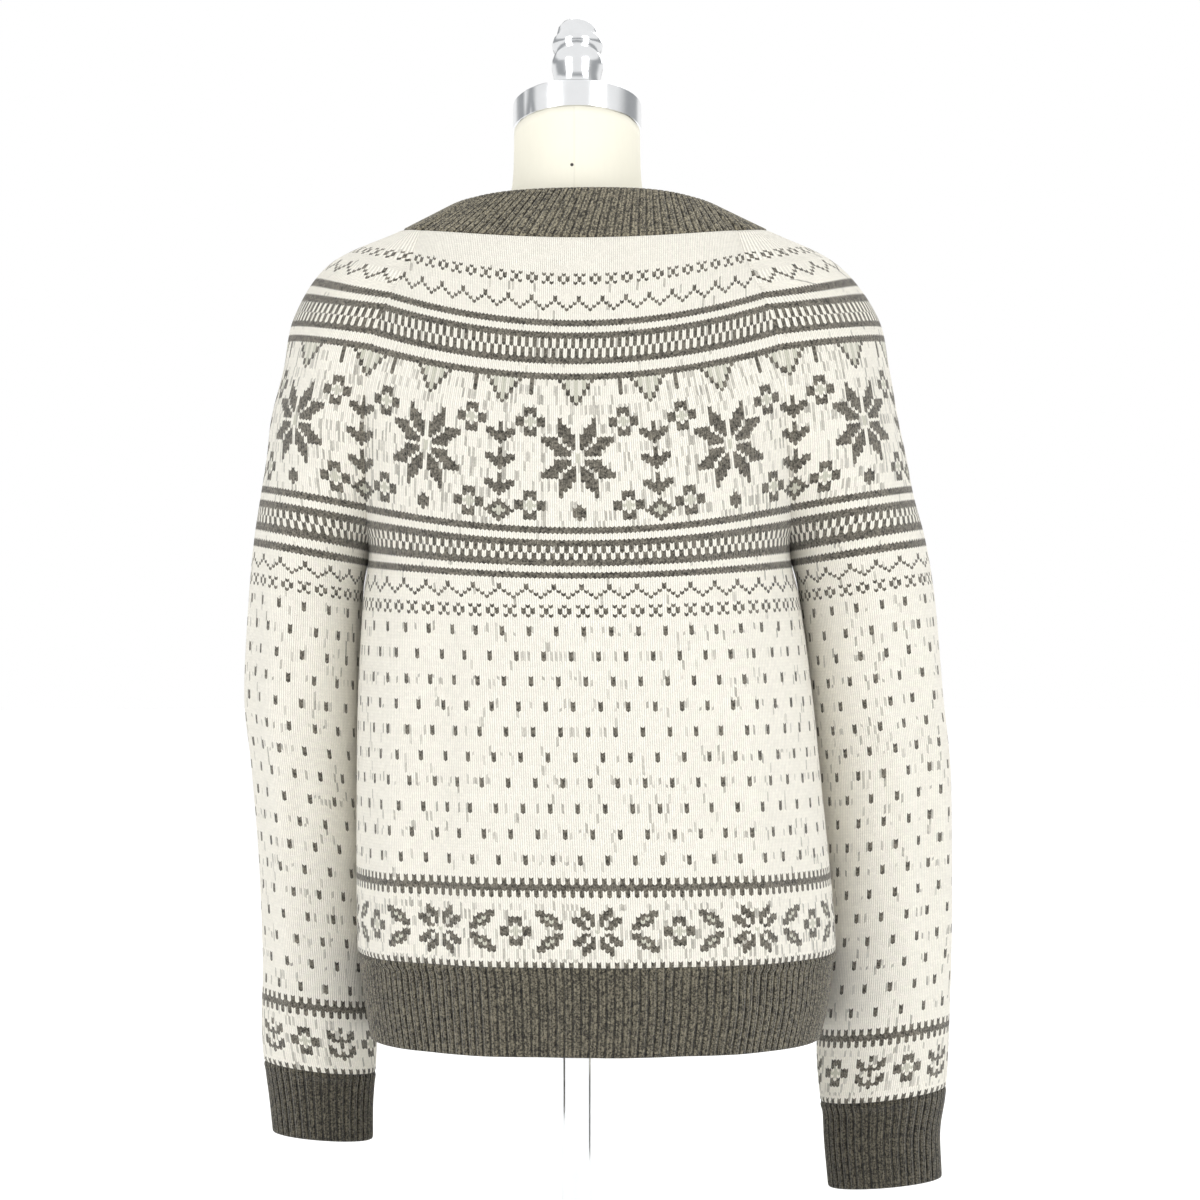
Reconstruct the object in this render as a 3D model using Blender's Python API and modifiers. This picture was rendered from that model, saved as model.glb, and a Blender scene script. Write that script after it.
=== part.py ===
"""Knitted pullover with raglan sleeves, worn by a limbless dress form on a short stand.

The wearer's back faces -Y. The origin is the centre of the base's underside.
"""

import math

import bmesh
import bpy
import numpy as np

MM = 0.001

COLLECTION = "sweater_on_dress_form"

# Cloth
WALL = 2.6
SEAM_GAP = 0.32
NECKBAND_GAP = 0.6
BACK_POWER = 2.3
FRONT_POWER = 2.0
BACK_RISE = 2.0
FRONT_RISE = 2.6
UNDERARM = 7
HEM_SEAM = 12
HEM_EDGE = 15
CUFF_SEAM = 14
CUFF_EDGE = 17

# The garment's rings from the neck seam down, in mm. Rows 0 to 7 are the yoke, down to the underarm.
# z_back, z_seam, z_front_seam and z_front are heights at the centre back, the raglan seams and the
# centre front; left and right are the seams' x; back and front are the depths at the centres.
# z_back, z_seam, z_front_seam, z_front, left, right, back, front
BODY_RINGS = (
    (836, 846, 838, 786, -120, 124, 88, 95),
    (800, 812, 804, 757, -131, 133, 108, 108),
    (768, 782, 775, 731, -146, 146, 118, 117),
    (723, 738, 732, 695, -159, 156, 124, 124),
    (680, 695, 691, 659, -160, 159, 128, 127),
    (645, 660, 658, 630, -161, 162, 130, 129),
    (611, 627, 626, 602, -162, 165, 130, 127),
    (580, 590, 590, 574, -164, 168, 130, 124),
    (552, 558, 558, 549, -168, 175, 130, 121),
    (481, 483, 483, 480, -172, 185, 132, 119),
    (403, 403, 403, 403, -173, 193, 135, 121),
    (324, 324, 324, 324, -173, 201, 137, 125),
    (286, 286, 286, 286, -172, 203, 138, 127),
    (277, 277, 277, 277, -170, 201, 137, 126),
    (250, 250, 250, 250, -167, 198, 135, 125),
    (219, 219, 219, 219, -162, 191, 131, 121),
)

# The sleeves' rings share the yoke's first rows with the body and go on to the cuff's edge.
# outer_x and outer_z are the ridge over the shoulder and down the arm's outer side, y the oval's
# centre, depth its half-depth, angle its half-angle from the ridge to a seam (180 is a closed
# oval), width its half-width and inner_z its height on the inner side, both below the underarm.
# outer_x, outer_z, y, depth, angle, width, inner_z
YOKE_LEFT = (
    (-137, 850, 0, 48, 90, 0, 0),
    (-193, 823, -10, 66, 90, 0, 0),
    (-221, 782, -10, 80, 92, 0, 0),
    (-230, 740, -6, 88, 97, 0, 0),
    (-240, 703, 0, 90, 103, 0, 0),
    (-244, 672, 3, 86, 112, 0, 0),
    (-249, 641, 3, 77, 128, 54, 627),
    (-254, 606, 0, 62, 180, 45, 590),
)
ARM_LEFT = (
    (-260, 560, 15, 57, 180, 44.8, 546),
    (-265, 484, 28, 55, 180, 46.8, 471),
    (-261, 427, 40, 53, 180, 45, 414),
    (-256, 352, 50, 51, 180, 44.5, 340),
    (-254, 277, 61, 48, 180, 45.5, 265),
    (-254, 225, 63, 45, 180, 46, 214),
    (-252, 190, 61, 40, 180, 44.5, 180),
    (-251, 180, 60, 36, 180, 43.5, 171),
    (-248, 160, 57, 32, 180, 41.5, 153),
    (-245, 134, 55, 30, 180, 40, 128),
)
YOKE_RIGHT = (
    (150, 850, 0, 48, 90, 0, 0),
    (203, 823, -10, 66, 90, 0, 0),
    (235, 782, -10, 80, 92, 0, 0),
    (245, 740, -6, 88, 97, 0, 0),
    (252, 703, 0, 90, 103, 0, 0),
    (259, 672, 3, 86, 112, 0, 0),
    (265, 641, 3, 77, 128, 62, 627),
    (274, 606, 0, 62, 180, 53, 590),
)
ARM_RIGHT = (
    (283, 560, 15, 58, 180, 52.8, 546),
    (291, 484, 29, 57, 180, 53.2, 471),
    (298, 427, 42, 55, 180, 53.2, 414),
    (300, 352, 52, 52, 180, 51.5, 340),
    (301, 277, 63, 49, 180, 52.5, 265),
    (299, 210, 66, 46, 180, 53, 198),
    (297, 168, 64, 41, 180, 50.5, 156),
    (296, 157, 63, 37, 180, 49, 146),
    (292, 132, 60, 33, 180, 46.5, 123),
    (293, 97, 58, 31, 180, 45.5, 89),
)

# The largest soft folds. Each runs down from ring top to ring bottom; at_top and at_bottom are its
# x on a panel, or its angle in degrees round a sleeve; a negative height is a trough.
# top, bottom, at_top, at_bottom, half_width, height
BACK_FOLDS = (
    (7.4, 12.6, -100, -112, 17, -5.0),
    (8.6, 12.9, -134, -146, 15, 4.0),
    (8.0, 12.8, 128, 146, 15, 4.5),
    (8.6, 12.6, 104, 116, 14, -3.5),
    (5.2, 9.0, -138, -96, 12, -2.5),
    (5.2, 8.8, 140, 104, 12, -2.5),
)
FRONT_FOLDS = (
    (7.2, 12.7, -92, -120, 17, -4.5),
    (8.2, 12.9, -60, -84, 16, 3.5),
    (7.6, 12.8, 98, 132, 16, -5.0),
    (8.8, 12.7, 66, 92, 15, 3.5),
    (4.6, 8.6, -134, -88, 12, -2.5),
    (4.6, 8.4, 136, 94, 12, -2.5),
)
LEFT_SLEEVE_FOLDS = (
    (7.0, 11.4, -38, -30, 15, -4.0),
    (8.0, 13.4, -74, -60, 15, 3.0),
    (6.6, 10.4, 62, 44, 17, -4.0),
    (9.4, 13.6, 12, 24, 15, -3.0),
)
RIGHT_SLEEVE_FOLDS = (
    (6.2, 12.9, -74, -50, 14, -4.5),
    (7.4, 13.2, -38, -22, 14, 3.0),
    (6.6, 11.0, 58, 40, 17, -4.0),
    (9.8, 13.6, 84, 70, 15, -3.0),
)

# The neckband's upper edge, in mm: its x and y, and its rise above the neck seam
NECK_EDGE_LEFT = -103
NECK_EDGE_RIGHT = 113
NECK_EDGE_BACK = 70
NECK_EDGE_FRONT = 79
NECK_RISE_BACK = 39.5
NECK_RISE_SIDE = 17
NECK_RISE_FRONT = 36

# Facets
SEAM_STRIP = 2.0
PANEL_STRIP = 0.06
RIB_STRIP = 0.2
YOKE_STEPS = 2
ARM_STEPS = 2
BACK_SPANS = 20
FRONT_SPANS = 18
SLEEVE_SPANS = 16
NECKBAND_STEPS = 3
DENSE = 181

# The dress form's body, in mm: each ring's z, half-width, back depth, front depth and centre x
FORM_RINGS = (
    (927, 50.0, 50.0, 50.0, 0),
    (900, 50.2, 50.2, 50.2, 0),
    (880, 51.5, 52.0, 51.0, 0),
    (862, 58.0, 57.0, 53.0, 0),
    (854, 78.0, 59.0, 52.0, 2),
    (849, 108.0, 62.0, 52.0, 4),
    (844.5, 139.0, 67.0, 53.5, 5),
    (836, 162.0, 74.7, 56.0, 5),
    (820, 177.0, 84.0, 62.0, 5),
    (790, 183.0, 96.0, 74.5, 5),
    (745, 176.0, 106.0, 95.0, 3),
    (700, 164.0, 110.0, 110.0, 2),
    (650, 154.0, 112.0, 117.0, 2),
    (600, 146.0, 110.0, 112.0, 2),
    (540, 134.0, 104.0, 100.0, 2),
    (480, 126.0, 101.0, 92.0, 2),
    (410, 136.0, 108.0, 94.0, 4),
    (340, 147.0, 113.0, 98.0, 6),
    (280, 152.0, 115.0, 100.0, 8),
    (240, 150.0, 113.0, 98.0, 8),
    (228, 145.0, 108.0, 94.0, 8),
)
FORM_POWER = 2.2
FORM_SPANS = 28
NECK_TILT = math.radians(16)
TILT_FADES = (850, 900)

# Chrome cap and knob on the neck, in mm, measured along the tilted neck axis.
CAP_RADIUS = 50.6
CAP_HEIGHT = 23.5
CAP_BEVEL = 1.2
PART_GAP = 0.3
KNOB_PROFILE = (
    (0.0, 73.5),
    (6.5, 72.8),
    (12.0, 70.3),
    (15.2, 66.2),
    (16.3, 61.5),
    (16.3, 59.6),
    (18.6, 56.8),
    (20.0, 52.5),
    (19.6, 48.0),
    (17.6, 44.0),
    (18.6, 41.5),
    (20.2, 37.0),
    (20.2, 31.0),
    (19.2, 26.0),
    (18.4, 22.0),
    (18.4, 0.0),
    (0.0, 0.0),
)
KNOB_STEPS = 24

# Stand, in mm
BASE_RADIUS = 140.0
BASE_EDGE = 12.0
BASE_HEIGHT = 20.0
BASE_CHAMFER = 3.0
HUB_RADIUS = 27.0
HUB_HEIGHT = 44.0
BASE_STEPS = 48
POLE_RADIUS = 12.5
POLE_SIDES = 24

CREAM = (0.90, 0.87, 0.80, 1.0)
CHARCOAL = (0.115, 0.105, 0.090, 1.0)
IVORY = (0.93, 0.90, 0.78, 1.0)
CHROME = (0.80, 0.81, 0.82, 1.0)
IRON = (0.06, 0.06, 0.06, 1.0)


def clear_scene():
    for item in list(bpy.data.objects):
        bpy.data.objects.remove(item, do_unlink=True)


def make_material(name, colour, roughness, metallic=0.0):
    material = bpy.data.materials.new(name)
    material.use_nodes = True
    shader = material.node_tree.nodes["Principled BSDF"]
    shader.inputs["Base Color"].default_value = colour
    shader.inputs["Roughness"].default_value = roughness
    shader.inputs["Metallic"].default_value = metallic
    material.diffuse_color = colour
    return material


def link(name, mesh, material):
    mesh.materials.clear()
    mesh.materials.append(material)
    item = bpy.data.objects.new(name, mesh)
    bpy.data.collections[COLLECTION].objects.link(item)
    return item


def ring_values(rows, place):
    """Read a table of rings between its rows with a Catmull-Rom curve."""
    table = np.asarray(rows, float)
    place = np.atleast_1d(np.asarray(place, float))
    first = np.clip(np.floor(place).astype(int), 0, len(table) - 2)
    part = (place - first)[:, None]
    here = table[first]
    after = table[first + 1]
    slope_here = (after - table[np.maximum(first - 1, 0)]) * np.where(first > 0, 0.5, 1.0)[:, None]
    last = first + 2 > len(table) - 1
    slope_after = (table[np.minimum(first + 2, len(table) - 1)] - here) * np.where(last, 1.0, 0.5)[:, None]
    return (
        (2 * part**3 - 3 * part**2 + 1) * here
        + (part**3 - 2 * part**2 + part) * slope_here
        + (3 * part**2 - 2 * part**3) * after
        + (part**3 - part**2) * slope_after
    )


def smooth_step(value):
    value = np.clip(value, 0.0, 1.0)
    return value * value * (3 - 2 * value)


def fold_height(folds, place, across):
    """Soft troughs and ridges at a ring, for each value of x or angle across it."""
    total = np.zeros_like(across)
    for top, bottom, at_top, at_bottom, half_width, height in folds:
        along = (place - top) / (bottom - top)
        if along <= 0 or along >= 1:
            continue
        centre = at_top + (at_bottom - at_top) * along
        window = math.sin(math.pi * along) ** 0.8
        total += height * window * np.exp(-(((across - centre) / half_width) ** 2))
    return total


def push_out(line, heights):
    """Move a ring's points sideways along the ring's outward normals."""
    along = np.gradient(line[:, :2], axis=0)
    length = np.maximum(np.hypot(along[:, 0], along[:, 1]), 1e-9)
    moved = line.copy()
    moved[:, 0] += along[:, 1] / length * heights
    moved[:, 1] -= along[:, 0] / length * heights
    return moved


def spaced(line, spans):
    """Points at equal steps along a polyline, with a short step at each end for the seam."""
    steps = np.linalg.norm(np.diff(line, axis=0), axis=1)
    run = np.concatenate(([0.0], np.cumsum(steps)))
    between = np.linspace(SEAM_STRIP, run[-1] - SEAM_STRIP, spans - 1)
    wanted = np.concatenate(([0.0], between, [run[-1]]))
    return np.stack([np.interp(wanted, run, line[:, axis]) for axis in range(3)], axis=1)


def sleeve_rows(side):
    return YOKE_LEFT + ARM_LEFT if side < 0 else YOKE_RIGHT + ARM_RIGHT


def seam_depths(place):
    """The y of the back and front raglan seams at a yoke ring; both are 0 from the underarm down."""
    if place >= UNDERARM:
        return 0.0, 0.0
    _, _, y, depth, angle, _, _ = ring_values(sleeve_rows(-1), place)[0]
    reach = depth * math.sin(math.radians(min(angle, 180.0)))
    return y - reach, y + reach


def panel_line(place, is_back):
    """One ring of the back or front panel, running anticlockwise seen from above."""
    z_back, z_seam, z_front_seam, z_front, left, right, back, front = ring_values(BODY_RINGS, place)[0]
    y_back, y_front = seam_depths(place)
    depth, power, y_seam = (back, BACK_POWER, -y_back) if is_back else (front, FRONT_POWER, y_front)
    z_centre, z_edge = (z_back, z_seam) if is_back else (z_front, z_front_seam)
    centre = (left + right) / 2
    half = (right - left) / 2
    full = half / (1 - (max(y_seam, 0.0) / depth) ** power) ** (1 / power)
    x = half * np.sin(np.linspace(-math.pi / 2, math.pi / 2, DENSE))
    y = depth * np.clip(1 - np.abs(x / full) ** power, 0, 1) ** (1 / power)
    z = z_centre + (z_edge - z_centre) * np.abs(x / half) ** (BACK_RISE if is_back else FRONT_RISE)
    line = np.stack([centre + x, -y, z], axis=1)
    folds = BACK_FOLDS
    if not is_back:
        line = line[::-1] * (1, -1, 1)
        folds = FRONT_FOLDS
    ends = 1 - np.abs(line[:, 0] - centre) / half
    heights = fold_height(folds, place, line[:, 0]) * smooth_step(ends / 0.06)
    return push_out(line, heights)


def sleeve_line(place, side):
    """One ring of a sleeve, running anticlockwise seen from above."""
    outer_x, outer_z, y, depth, angle, width, inner_z = ring_values(sleeve_rows(side), place)[0]
    angle = math.radians(min(angle, 180.0))
    if place < UNDERARM:
        _, z_back, z_front, _, left, right, _, _ = ring_values(BODY_RINGS, place)[0]
        seam = left if side < 0 else right
        _, _, y, depth, _, _, _ = ring_values(sleeve_rows(-1), place)[0]
        width = abs(outer_x - seam) / (1 - math.cos(angle))
    else:
        z_back = z_front = inner_z
        angle = math.pi
    turn = np.linspace(-angle, angle, DENSE)
    if side < 0:
        turn = turn[::-1]
    share = (np.cos(turn) - math.cos(angle)) / (1 - math.cos(angle))
    edge_z = z_back + (z_front - z_back) * (1 + turn / angle) / 2
    x = outer_x - side * width * (1 - np.cos(turn))
    line = np.stack([x, y + depth * np.sin(turn), edge_z + (outer_z - edge_z) * share], axis=1)
    folds = LEFT_SLEEVE_FOLDS if side < 0 else RIGHT_SLEEVE_FOLDS
    heights = fold_height(folds, place, np.degrees(turn)) * smooth_step(share / 0.08)
    return push_out(line, heights)


def move_edge(grid, edge, distance):
    """Draw one edge of a grid of points back along the cloth."""
    edges = {
        "top": (grid[0], grid[1]),
        "bottom": (grid[-1], grid[-2]),
        "first": (grid[:, 0], grid[:, 1]),
        "last": (grid[:, -1], grid[:, -2]),
    }
    border, inside = edges[edge]
    way = inside - border
    border += way / np.linalg.norm(way, axis=-1, keepdims=True) * distance


def places(first, last, steps):
    return np.linspace(first, last, (last - first) * steps + 1)


def yoke_places():
    rows = places(0, UNDERARM, YOKE_STEPS)
    return np.insert(rows, 1, PANEL_STRIP)


def places_to_seam(seam):
    """Rings from the neck to the seam with a rib, where a narrow row lets both walls meet squarely."""
    lower = places(UNDERARM, seam, ARM_STEPS)[1:]
    return np.concatenate([yoke_places(), lower[:-1], [seam - PANEL_STRIP, seam]])


def places_from_seam(seam, edge):
    return np.concatenate([[seam, seam + RIB_STRIP], places(seam + 1, edge, 1)])


def panel_grid(is_back):
    spans = BACK_SPANS if is_back else FRONT_SPANS
    rows = places_to_seam(HEM_SEAM)
    grid = np.array([spaced(panel_line(place, is_back), spans) for place in rows])
    for edge in ("top", "bottom", "first", "last"):
        move_edge(grid, edge, SEAM_GAP / 2)
    return grid


def sleeve_grid(side):
    rows = places_to_seam(CUFF_SEAM)
    grid = np.array([spaced(sleeve_line(place, side), SLEEVE_SPANS) for place in rows])
    open_rows = len(yoke_places()) - 1
    for edge in ("first", "last"):
        move_edge(grid[:open_rows], edge, SEAM_GAP / 2)
    grid[open_rows, (0, -1), 0] += 2 * side * SEAM_GAP
    for edge in ("top", "bottom"):
        move_edge(grid, edge, SEAM_GAP / 2)
    return grid


def hem_grid():
    rows = places_from_seam(HEM_SEAM, HEM_EDGE)
    grid = np.array([hem_ring(place) for place in rows])
    move_edge(grid, "top", SEAM_GAP / 2)
    return grid


def hem_ring(place):
    back = spaced(panel_line(place, True), BACK_SPANS)
    front = spaced(panel_line(place, False), FRONT_SPANS)
    return np.concatenate([back, front[1:]])


def cuff_grid(side):
    rows = places_from_seam(CUFF_SEAM, CUFF_EDGE)
    grid = np.array([spaced(sleeve_line(place, side), SLEEVE_SPANS) for place in rows])
    move_edge(grid, "top", SEAM_GAP / 2)
    return grid


def neck_seam():
    """The neck seam's ring, from the left back raglan seam round to itself."""
    return np.concatenate([
        spaced(panel_line(0, True), BACK_SPANS),
        spaced(sleeve_line(0, 1), SLEEVE_SPANS)[1:],
        spaced(panel_line(0, False), FRONT_SPANS)[1:],
        spaced(sleeve_line(0, -1), SLEEVE_SPANS)[1:],
    ])


def neck_edge(seam):
    """The neckband's upper edge, a point above each point of the neck seam."""
    centre = (NECK_EDGE_LEFT + NECK_EDGE_RIGHT) / 2
    half = (NECK_EDGE_RIGHT - NECK_EDGE_LEFT) / 2
    seam_centre = (seam[:, 0].min() + seam[:, 0].max()) / 2
    seam_half = (seam[:, 0].max() - seam[:, 0].min()) / 2
    turn = np.arctan2(seam[:, 1] / NECK_EDGE_BACK, (seam[:, 0] - seam_centre) / seam_half)
    depth = np.where(np.sin(turn) < 0, NECK_EDGE_BACK, NECK_EDGE_FRONT)
    rise_end = np.where(np.sin(turn) < 0, NECK_RISE_BACK, NECK_RISE_FRONT)
    z = seam[:, 2] + NECK_RISE_SIDE + (rise_end - NECK_RISE_SIDE) * np.sin(turn) ** 2
    return np.stack([centre + half * np.cos(turn), depth * np.sin(turn), z], axis=1)


def neckband_grid():
    seam = neck_seam()
    edge = neck_edge(seam)
    grid = np.array([seam + (edge - seam) * share for share in np.linspace(1, 0, NECKBAND_STEPS + 1)])
    move_edge(grid, "bottom", NECKBAND_GAP)
    return grid


def cloth_piece(name, grid, material):
    """A wall of cloth inward from a grid of points; a tube's first and last points are welded."""
    rows, columns, _ = grid.shape
    shape = bmesh.new()
    bmesh.ops.create_grid(shape, x_segments=columns - 1, y_segments=rows - 1, size=1.0)
    shape.verts.ensure_lookup_table()
    points = grid[::-1].reshape(-1, 3) * MM
    for vertex, point in zip(shape.verts, points):
        vertex.co = point
    bmesh.ops.remove_doubles(shape, verts=shape.verts, dist=0.00001)
    mesh = bpy.data.meshes.new(name)
    shape.to_mesh(mesh)
    shape.free()
    mesh.shade_smooth()
    item = link(name, mesh, material)
    wall = item.modifiers.new("wall", "SOLIDIFY")
    wall.thickness = WALL * MM
    wall.offset = -1
    wall.use_quality_normals = True
    return item


def form_ring(row):
    z, half_width, back, front, centre_x = row
    turn = np.arange(FORM_SPANS) * 2 * math.pi / FORM_SPANS
    x = np.sign(np.cos(turn)) * np.abs(np.cos(turn)) ** (2 / FORM_POWER)
    y = np.sign(np.sin(turn)) * np.abs(np.sin(turn)) ** (2 / FORM_POWER)
    roundness = smooth_step((z - TILT_FADES[0]) / (TILT_FADES[1] - TILT_FADES[0]))
    x = x + (np.cos(turn) - x) * roundness
    y = y + (np.sin(turn) - y) * roundness
    y = y * np.where(y < 0, back, front)
    heights = z - y * math.tan(NECK_TILT) * roundness
    return np.stack([centre_x + x * half_width, y, heights], axis=1) * MM


def make_torso(material):
    """A loft through the form's rings, closed flat at both ends."""
    shape = bmesh.new()
    rings = [[shape.verts.new(point) for point in form_ring(row)] for row in FORM_RINGS]
    for upper, lower in zip(rings, rings[1:]):
        for index in range(FORM_SPANS):
            after = (index + 1) % FORM_SPANS
            shape.faces.new((upper[index], lower[index], lower[after], upper[after]))
    shape.faces.new(rings[0])
    shape.faces.new(list(reversed(rings[-1])))
    mesh = bpy.data.meshes.new("form_torso")
    shape.to_mesh(mesh)
    shape.free()
    mesh.shade_smooth()
    mesh.set_sharp_from_angle(angle=math.radians(50))
    return link("form_torso", mesh, material)


def neck_axis():
    """An empty at the middle of the tilted neck's top; its Z runs up the cap and the knob."""
    axis = bpy.data.objects.new("neck_axis", None)
    axis.location = (0, 0, FORM_RINGS[0][0] * MM)
    axis.rotation_euler = (-NECK_TILT, 0, 0)
    bpy.data.collections[COLLECTION].objects.link(axis)
    return axis


def make_cap(axis, material):
    shape = bmesh.new()
    bmesh.ops.create_cone(
        shape,
        cap_ends=True,
        segments=2 * KNOB_STEPS,
        radius1=CAP_RADIUS * MM,
        radius2=CAP_RADIUS * MM,
        depth=CAP_HEIGHT * MM,
    )
    mesh = bpy.data.meshes.new("neck_cap")
    shape.to_mesh(mesh)
    shape.free()
    mesh.shade_smooth()
    mesh.set_sharp_from_angle(angle=math.radians(40))
    item = link("neck_cap", mesh, material)
    item.parent = axis
    item.location = (0, 0, (PART_GAP + CAP_HEIGHT / 2) * MM)
    bevel = item.modifiers.new("edge", "BEVEL")
    bevel.width = CAP_BEVEL * MM
    bevel.segments = 1
    bevel.limit_method = "ANGLE"
    return item


def turned(name, profile, steps, material):
    """A solid of revolution from a profile that runs down its outer side, in mm."""
    mesh = bpy.data.meshes.new(name)
    points = [(radius * MM, 0, height * MM) for radius, height in profile]
    mesh.from_pydata(points, [(i, i + 1) for i in range(len(points) - 1)], [])
    item = link(name, mesh, material)
    screw = item.modifiers.new("turn", "SCREW")
    screw.axis = "Z"
    screw.steps = steps
    screw.render_steps = steps
    screw.use_merge_vertices = True
    screw.merge_threshold = 0.00001
    return item


def make_knob(axis, material):
    knob = turned("finial", KNOB_PROFILE, KNOB_STEPS, material)
    knob.parent = axis
    knob.location = (0, 0, (CAP_HEIGHT + 2 * PART_GAP) * MM)
    return knob


def make_pole(material):
    bottom = HUB_HEIGHT + PART_GAP
    top = FORM_RINGS[-1][0] - PART_GAP
    shape = bmesh.new()
    bmesh.ops.create_cone(
        shape,
        cap_ends=True,
        segments=POLE_SIDES,
        radius1=POLE_RADIUS * MM,
        radius2=POLE_RADIUS * MM,
        depth=(top - bottom) * MM,
    )
    mesh = bpy.data.meshes.new("pole")
    shape.to_mesh(mesh)
    shape.free()
    mesh.shade_smooth()
    mesh.set_sharp_from_angle(angle=math.radians(40))
    item = link("pole", mesh, material)
    item.location = (0, 0, (bottom + top) / 2 * MM)
    return item


def make_base(material):
    profile = (
        (0.0, HUB_HEIGHT),
        (HUB_RADIUS - BASE_CHAMFER, HUB_HEIGHT),
        (HUB_RADIUS, HUB_HEIGHT - BASE_CHAMFER),
        (HUB_RADIUS, BASE_HEIGHT + BASE_CHAMFER),
        (HUB_RADIUS + 2 * BASE_CHAMFER, BASE_HEIGHT),
        (BASE_RADIUS - BASE_CHAMFER, BASE_EDGE),
        (BASE_RADIUS, BASE_EDGE - BASE_CHAMFER),
        (BASE_RADIUS, BASE_CHAMFER),
        (BASE_RADIUS - BASE_CHAMFER, 0.0),
        (0.0, 0.0),
    )
    return turned("base", profile, BASE_STEPS, material)


def make_garment():
    cream = make_material("cream_knit", CREAM, 0.9)
    charcoal = make_material("charcoal_rib", CHARCOAL, 0.92)
    cloth_piece("back_panel", panel_grid(True), cream)
    cloth_piece("front_panel", panel_grid(False), cream)
    cloth_piece("left_sleeve", sleeve_grid(-1), cream)
    cloth_piece("right_sleeve", sleeve_grid(1), cream)
    cloth_piece("neckband", neckband_grid(), charcoal)
    cloth_piece("hem_rib", hem_grid(), charcoal)
    cloth_piece("left_cuff", cuff_grid(-1), charcoal)
    cloth_piece("right_cuff", cuff_grid(1), charcoal)


def make_form():
    chrome = make_material("chrome", CHROME, 0.12, 1.0)
    make_torso(make_material("ivory_cloth", IVORY, 0.8))
    axis = neck_axis()
    make_cap(axis, chrome)
    make_knob(axis, chrome)
    make_pole(chrome)
    make_base(make_material("black_iron", IRON, 0.45))


def main():
    clear_scene()
    collection = bpy.data.collections.new(COLLECTION)
    bpy.context.scene.collection.children.link(collection)
    make_garment()
    make_form()


main()
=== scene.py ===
"""Looks of the knitted pullover on its dress form: stranded knitting, ribs, form, stand and stage."""

import math

import bpy
import numpy as np
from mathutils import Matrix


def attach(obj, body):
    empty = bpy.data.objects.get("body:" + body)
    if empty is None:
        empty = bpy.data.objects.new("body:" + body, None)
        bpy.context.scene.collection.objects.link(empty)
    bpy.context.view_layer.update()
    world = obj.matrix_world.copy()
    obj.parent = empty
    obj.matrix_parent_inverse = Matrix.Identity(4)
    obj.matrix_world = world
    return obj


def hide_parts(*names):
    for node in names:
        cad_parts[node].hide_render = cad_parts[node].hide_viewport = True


bl_info = {
    "name": "Stranded pullover on a dress form",
    "version": (1, 0, 0),
    "blender": (4, 5, 0),
    "location": "View3D > Sidebar > Pullover",
    "description": "Knits the pullover's panels and ribs and finishes the form, the stand and the stage",
    "category": "Object",
}

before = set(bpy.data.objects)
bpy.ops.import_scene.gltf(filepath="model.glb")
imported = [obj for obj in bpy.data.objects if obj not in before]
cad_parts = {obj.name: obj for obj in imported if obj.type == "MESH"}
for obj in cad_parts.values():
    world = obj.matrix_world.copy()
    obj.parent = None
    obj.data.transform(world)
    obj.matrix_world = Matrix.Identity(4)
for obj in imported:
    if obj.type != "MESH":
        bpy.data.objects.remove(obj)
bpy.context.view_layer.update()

MM = 0.001

# The garment's shape, in mm, as its solids have it. Rows 0 to 7 are the yoke, down to the underarm.
WALL = 2.6
BACK_POWER = 2.3
FRONT_POWER = 2.0
BACK_RISE = 2.0
FRONT_RISE = 2.6
UNDERARM = 7
HEM_SEAM = 12
HEM_EDGE = 15
CUFF_SEAM = 14
CUFF_EDGE = 17
DENSE = 181

# z_back, z_seam, z_front_seam, z_front, left, right, back, front
BODY_RINGS = (
    (836, 846, 838, 786, -120, 124, 88, 95),
    (800, 812, 804, 757, -131, 133, 108, 108),
    (768, 782, 775, 731, -146, 146, 118, 117),
    (723, 738, 732, 695, -159, 156, 124, 124),
    (680, 695, 691, 659, -160, 159, 128, 127),
    (645, 660, 658, 630, -161, 162, 130, 129),
    (611, 627, 626, 602, -162, 165, 130, 127),
    (580, 590, 590, 574, -164, 168, 130, 124),
    (552, 558, 558, 549, -168, 175, 130, 121),
    (481, 483, 483, 480, -172, 185, 132, 119),
    (403, 403, 403, 403, -173, 193, 135, 121),
    (324, 324, 324, 324, -173, 201, 137, 125),
    (286, 286, 286, 286, -172, 203, 138, 127),
    (277, 277, 277, 277, -170, 201, 137, 126),
    (250, 250, 250, 250, -167, 198, 135, 125),
    (219, 219, 219, 219, -162, 191, 131, 121),
)

# outer_x, outer_z, y, depth, angle, width, inner_z
YOKE_LEFT = (
    (-137, 850, 0, 48, 90, 0, 0),
    (-193, 823, -10, 66, 90, 0, 0),
    (-221, 782, -10, 80, 92, 0, 0),
    (-230, 740, -6, 88, 97, 0, 0),
    (-240, 703, 0, 90, 103, 0, 0),
    (-244, 672, 3, 86, 112, 0, 0),
    (-249, 641, 3, 77, 128, 54, 627),
    (-254, 606, 0, 62, 180, 45, 590),
)
ARM_LEFT = (
    (-260, 560, 15, 57, 180, 44.8, 546),
    (-265, 484, 28, 55, 180, 46.8, 471),
    (-261, 427, 40, 53, 180, 45, 414),
    (-256, 352, 50, 51, 180, 44.5, 340),
    (-254, 277, 61, 48, 180, 45.5, 265),
    (-254, 225, 63, 45, 180, 46, 214),
    (-252, 190, 61, 40, 180, 44.5, 180),
    (-251, 180, 60, 36, 180, 43.5, 171),
    (-248, 160, 57, 32, 180, 41.5, 153),
    (-245, 134, 55, 30, 180, 40, 128),
)
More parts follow.
